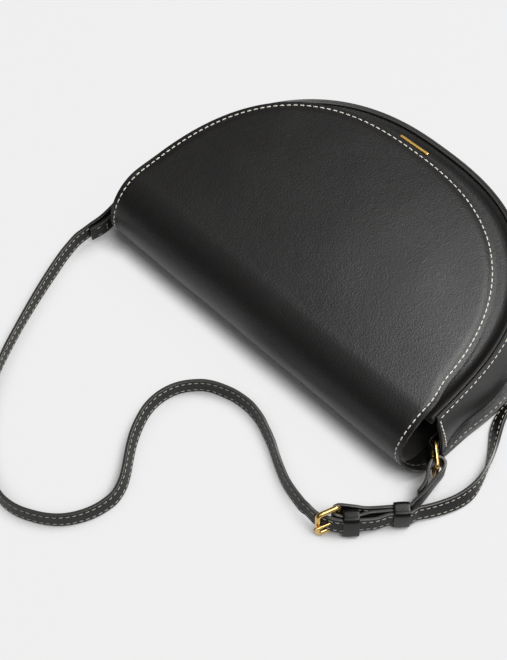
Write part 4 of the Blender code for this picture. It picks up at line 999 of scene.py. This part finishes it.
def wire_piece(name, points, radius, closed, sides=20):
    """A round wire along a line of points, in the gold; an open one has a domed tip at each end."""
    points = np.array(points)
    count = len(points)
    ahead = np.roll(points, -1, axis=0) if closed else np.vstack([points[1:], 2 * points[-1] - points[-2]])
    behind = np.roll(points, 1, axis=0) if closed else np.vstack([2 * points[0] - points[1], points[:-1]])
    flat = np.cross(points[count // 4] - points[0], points[count // 2] - points[0])
    flat /= np.linalg.norm(flat)
    other = np.cross(unit(ahead - behind), flat)
    rings = [(p, o, radius) for p, o in zip(points, other)]
    tips = []
    if not closed:
        start, end = radius * unit(np.array([behind[0] - points[0], ahead[-1] - points[-1]]))
        for share in (0.5, 0.86):
            small = radius * math.sqrt(1 - share**2)
            rings.insert(0, (points[0] + start * share, other[0], small))
            rings.append((points[-1] + end * share, other[-1], small))
        tips = [points[0] + start, points[-1] + end]
    places = []
    for p, o, wide in rings:
        for turn in 2 * math.pi * np.arange(sides) / sides:
            places.append(p + wide * (math.cos(turn) * flat + math.sin(turn) * o))
    faces = quads(len(rings), sides)
    last = (len(rings) - 1) * sides
    for k in range(sides):
        m = (k + 1) % sides
        if closed:
            faces.append((last + k, last + m, m, k))
        else:
            faces += [(len(places), m, k), (last + k, last + m, len(places) + 1)]
    return piece_from(name, places + tips, faces, (gold,))


RING_WIDTH = 0.0160
RING_CORNER = 0.0024
WIRE_STEP = 0.0004


def dense(line):
    """A closed line of points again, a wire step apart."""
    return evenly(np.vstack([line, line[:1]]), WIRE_STEP)[:-1]


for side in ("right", "left"):
    inner, outer = np.array(RING_INNER[side]), np.array(RING_OUTER[side])
    span = float(np.linalg.norm(outer - inner))
    way = (outer - inner) / span
    middle = (inner + outer) / 2
    line = np.array([(*(middle + way * u), RING_Z + v) for u, v in rounded(span, RING_WIDTH, RING_CORNER, 10)])
    ring = wire_piece(f"ring_wire_{side}", dense(line), RING_WIRE, True)
    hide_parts(f"ring_{side}")
    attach(ring, f"{side}_ring")

# The buckle's wire is a little fuller than the rings'
BUCKLE_WIRE = 0.0015
PLATING = 0.0002
BUCKLE_WIDTH = 0.0164
BUCKLE_CORNER = 0.0023
PRONG_WIRE = 0.00085
BUCKLE_Z = 0.0095
BUCKLE_LEAN = math.radians(17.0)
BAR_LEFT = (-0.0313, 0.1931)
BAR_RIGHT = (-0.0183, 0.1878)
span = math.dist(BAR_LEFT, BAR_RIGHT)
way = ((BAR_RIGHT[0] - BAR_LEFT[0]) / span, (BAR_RIGHT[1] - BAR_LEFT[1]) / span)
middle = ((BAR_LEFT[0] + BAR_RIGHT[0]) / 2, (BAR_LEFT[1] + BAR_RIGHT[1]) / 2)
line = []
for u, v in rounded(span, BUCKLE_WIDTH, BUCKLE_CORNER, 10):
    line.append(stack_place(middle[0] + u * way[0], middle[1] + u * way[1], v, BUCKLE_LEAN, BUCKLE_Z))
buckle = wire_piece("buckle_wire", dense(np.array(line)), BUCKLE_WIRE + PLATING, True)
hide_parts("buckle_frame")
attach(buckle, "bag")

# The prong is rolled round the right bar and lies over the left one
PRONG_ROLLED = math.radians(220.0)
PRONG_BEYOND = 0.0016
reach = BUCKLE_WIRE + GAP + PRONG_WIRE
plan = []
for k in range(29):
    turn = PRONG_ROLLED * (k / 28 - 1)
    plan.append((reach * math.sin(turn), reach * math.cos(turn)))
tip = span + BUCKLE_WIRE + PRONG_BEYOND
plan += [(-tip * share, reach) for share in np.linspace(0.1, 1.0, 10)]
line = []
for a, b in plan:
    level = b * math.cos(BUCKLE_LEAN)
    at = (BAR_RIGHT[0] + a * way[0] - level * way[1], BAR_RIGHT[1] + a * way[1] + level * way[0])
    line.append(stack_place(*at, 0.0, BUCKLE_LEAN, BUCKLE_Z + b * math.sin(BUCKLE_LEAN)))
prong = wire_piece("prong_wire", line, PRONG_WIRE, False, 14)
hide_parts("buckle_prong")
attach(prong, "prong")

# Front bar
# A slim flat bar of the same gold, its long edges bevelled and its face brushed lengthwise, pinned to the front.

BRUSH_LINE = 0.00012
bar_gold, tree, shader, place = bare_material("brushed_gold_bar", Base_Color="#e2b860", Metallic=1.0, Roughness=0.38)
stretched = node(tree, "ShaderNodeMapping", Vector=place, Scale=(0.06, 1.0, 1.0))
lines = node(tree, "ShaderNodeTexNoise", Vector=stretched, Scale=1 / BRUSH_LINE, Detail=3.0, Roughness=0.6)
tone = node(tree, "ShaderNodeMixRGB", Fac=lines, Color1="#d9aa4c", Color2="#eec878")
brushing = node(tree, "ShaderNodeBump", Height=lines, Strength=0.15, Distance=0.00005)
fed(shader, Base_Color=tone, Normal=brushing)


def finished(name, finish):
    """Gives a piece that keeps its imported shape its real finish."""
    kept = bpy.data.objects[name]
    kept.data.materials.clear()
    kept.data.materials.append(finish)


finished("front_bar", bar_gold)

# Magnetic snap
# Stamped steel cups in the same plating, under the flap: they keep their imported shape.

for name in ("snap_socket", "snap_stud"):
    finished(name, gold)

# Boards
# Grey pulp board between leather and lining keeps back and flap in shape. Only their material is seen, at a cut.

FLECK = 0.0014
pulp, tree, shader, place = bare_material("grey_pulp_board", Base_Color="#8d8171", Roughness=0.9, IOR=1.45)
flecks = node(tree, "ShaderNodeTexNoise", Vector=place, Scale=1 / FLECK, Detail=5.0, Roughness=0.7)
mixed = node(tree, "ShaderNodeMixRGB", Fac=flecks, Color1="#75695a", Color2="#a29786")
rough = node(tree, "ShaderNodeBump", Height=flecks, Strength=0.3, Distance=0.0002)
fed(shader, Base_Color=mixed, Normal=rough)
for name in ("back_board", "flap_board"):
    finished(name, pulp)

# Floor
# Matt white paper. Out in the open the camera sees it as one even pale grey; close to the bag and the strap, within
# about two centimetres, it keeps the real shadow.

PAPER_TOOTH = 0.002
paper, tree, shader, place = bare_material(
    "white_paper_sweep", Base_Color="#dcdcdc", Roughness=0.95, IOR=1.45, Specular_IOR_Level=0.0
)
tooth = node(tree, "ShaderNodeTexNoise", Vector=place, Scale=1 / PAPER_TOOTH, Detail=2.0, Roughness=0.5)
soft = node(tree, "ShaderNodeBump", Height=tooth, Strength=0.02, Distance=0.0002)
fed(shader, Normal=soft)
even = node(tree, "ShaderNodeEmission", Color="#f0f0f0", Strength=1.0)
near = node(tree, "ShaderNodeAmbientOcclusion", {"samples": 12}, Distance=0.021)
opened = node(
    tree, "ShaderNodeMapRange", Value=near.outputs["AO"], From_Min=0.50, From_Max=0.80, To_Min=0.0, To_Max=0.97
)
rays = node(tree, "ShaderNodeLightPath").outputs
direct = node(tree, "ShaderNodeMath", {"operation": "MAXIMUM"}, _0=rays["Is Camera Ray"], _1=rays["Is Glossy Ray"])
seen = node(tree, "ShaderNodeMath", {"operation": "MULTIPLY"}, _0=direct, _1=opened)
both = node(tree, "ShaderNodeMixShader", _0=seen, _1=shader, _2=even)
fed(tree.nodes["Material Output"], Surface=both)
FLOOR_REACH = 4.0
FLOOR_Z = -0.0003
floor_mesh = bpy.data.meshes.new("floor")
corners = [(x * FLOOR_REACH, y * FLOOR_REACH, FLOOR_Z) for x, y in ((-1, -1), (1, -1), (1, 1), (-1, 1))]
floor_mesh.from_pydata(corners, [], [(0, 1, 2, 3)])
floor_mesh.materials.append(paper)
floor = placed("floor", floor_mesh)

# Light
# Two soft boxes close behind the bag shine along the flap's right side; two larger ones at the right and the front
# and a dim white room fill in.

room = bpy.data.worlds.new("room")
room.use_nodes = True
fed(room.node_tree.nodes["Background"], Color="#ffffff", Strength=0.10)
bpy.context.scene.world = room
LIT_MIDDLE = (0.0, -0.05, 0.0)
for name, place, size, power in (
    ("soft_box_behind", (0.10, 0.45, 0.95), 0.45, 4.2),
    ("soft_box_behind_right", (0.36, 0.45, 0.95), 0.45, 5.4),
    ("soft_box_right", (1.10, -0.05, 1.905), 1.00, 19.0),
    ("soft_box_front", (0.50, -1.02, 1.905), 1.00, 3.6),
):
    lamp_data = bpy.data.lights.new(name, "AREA")
    lamp_data.shape = "SQUARE"
    lamp_data.size = size
    lamp_data.energy = power
    lamp = placed(name, lamp_data)
    lamp.location = place
    lamp.rotation_euler = (Vector(LIT_MIDDLE) - Vector(place)).to_track_quat("-Z", "Y").to_euler()

bpy.context.scene.view_settings.view_transform = "Standard"
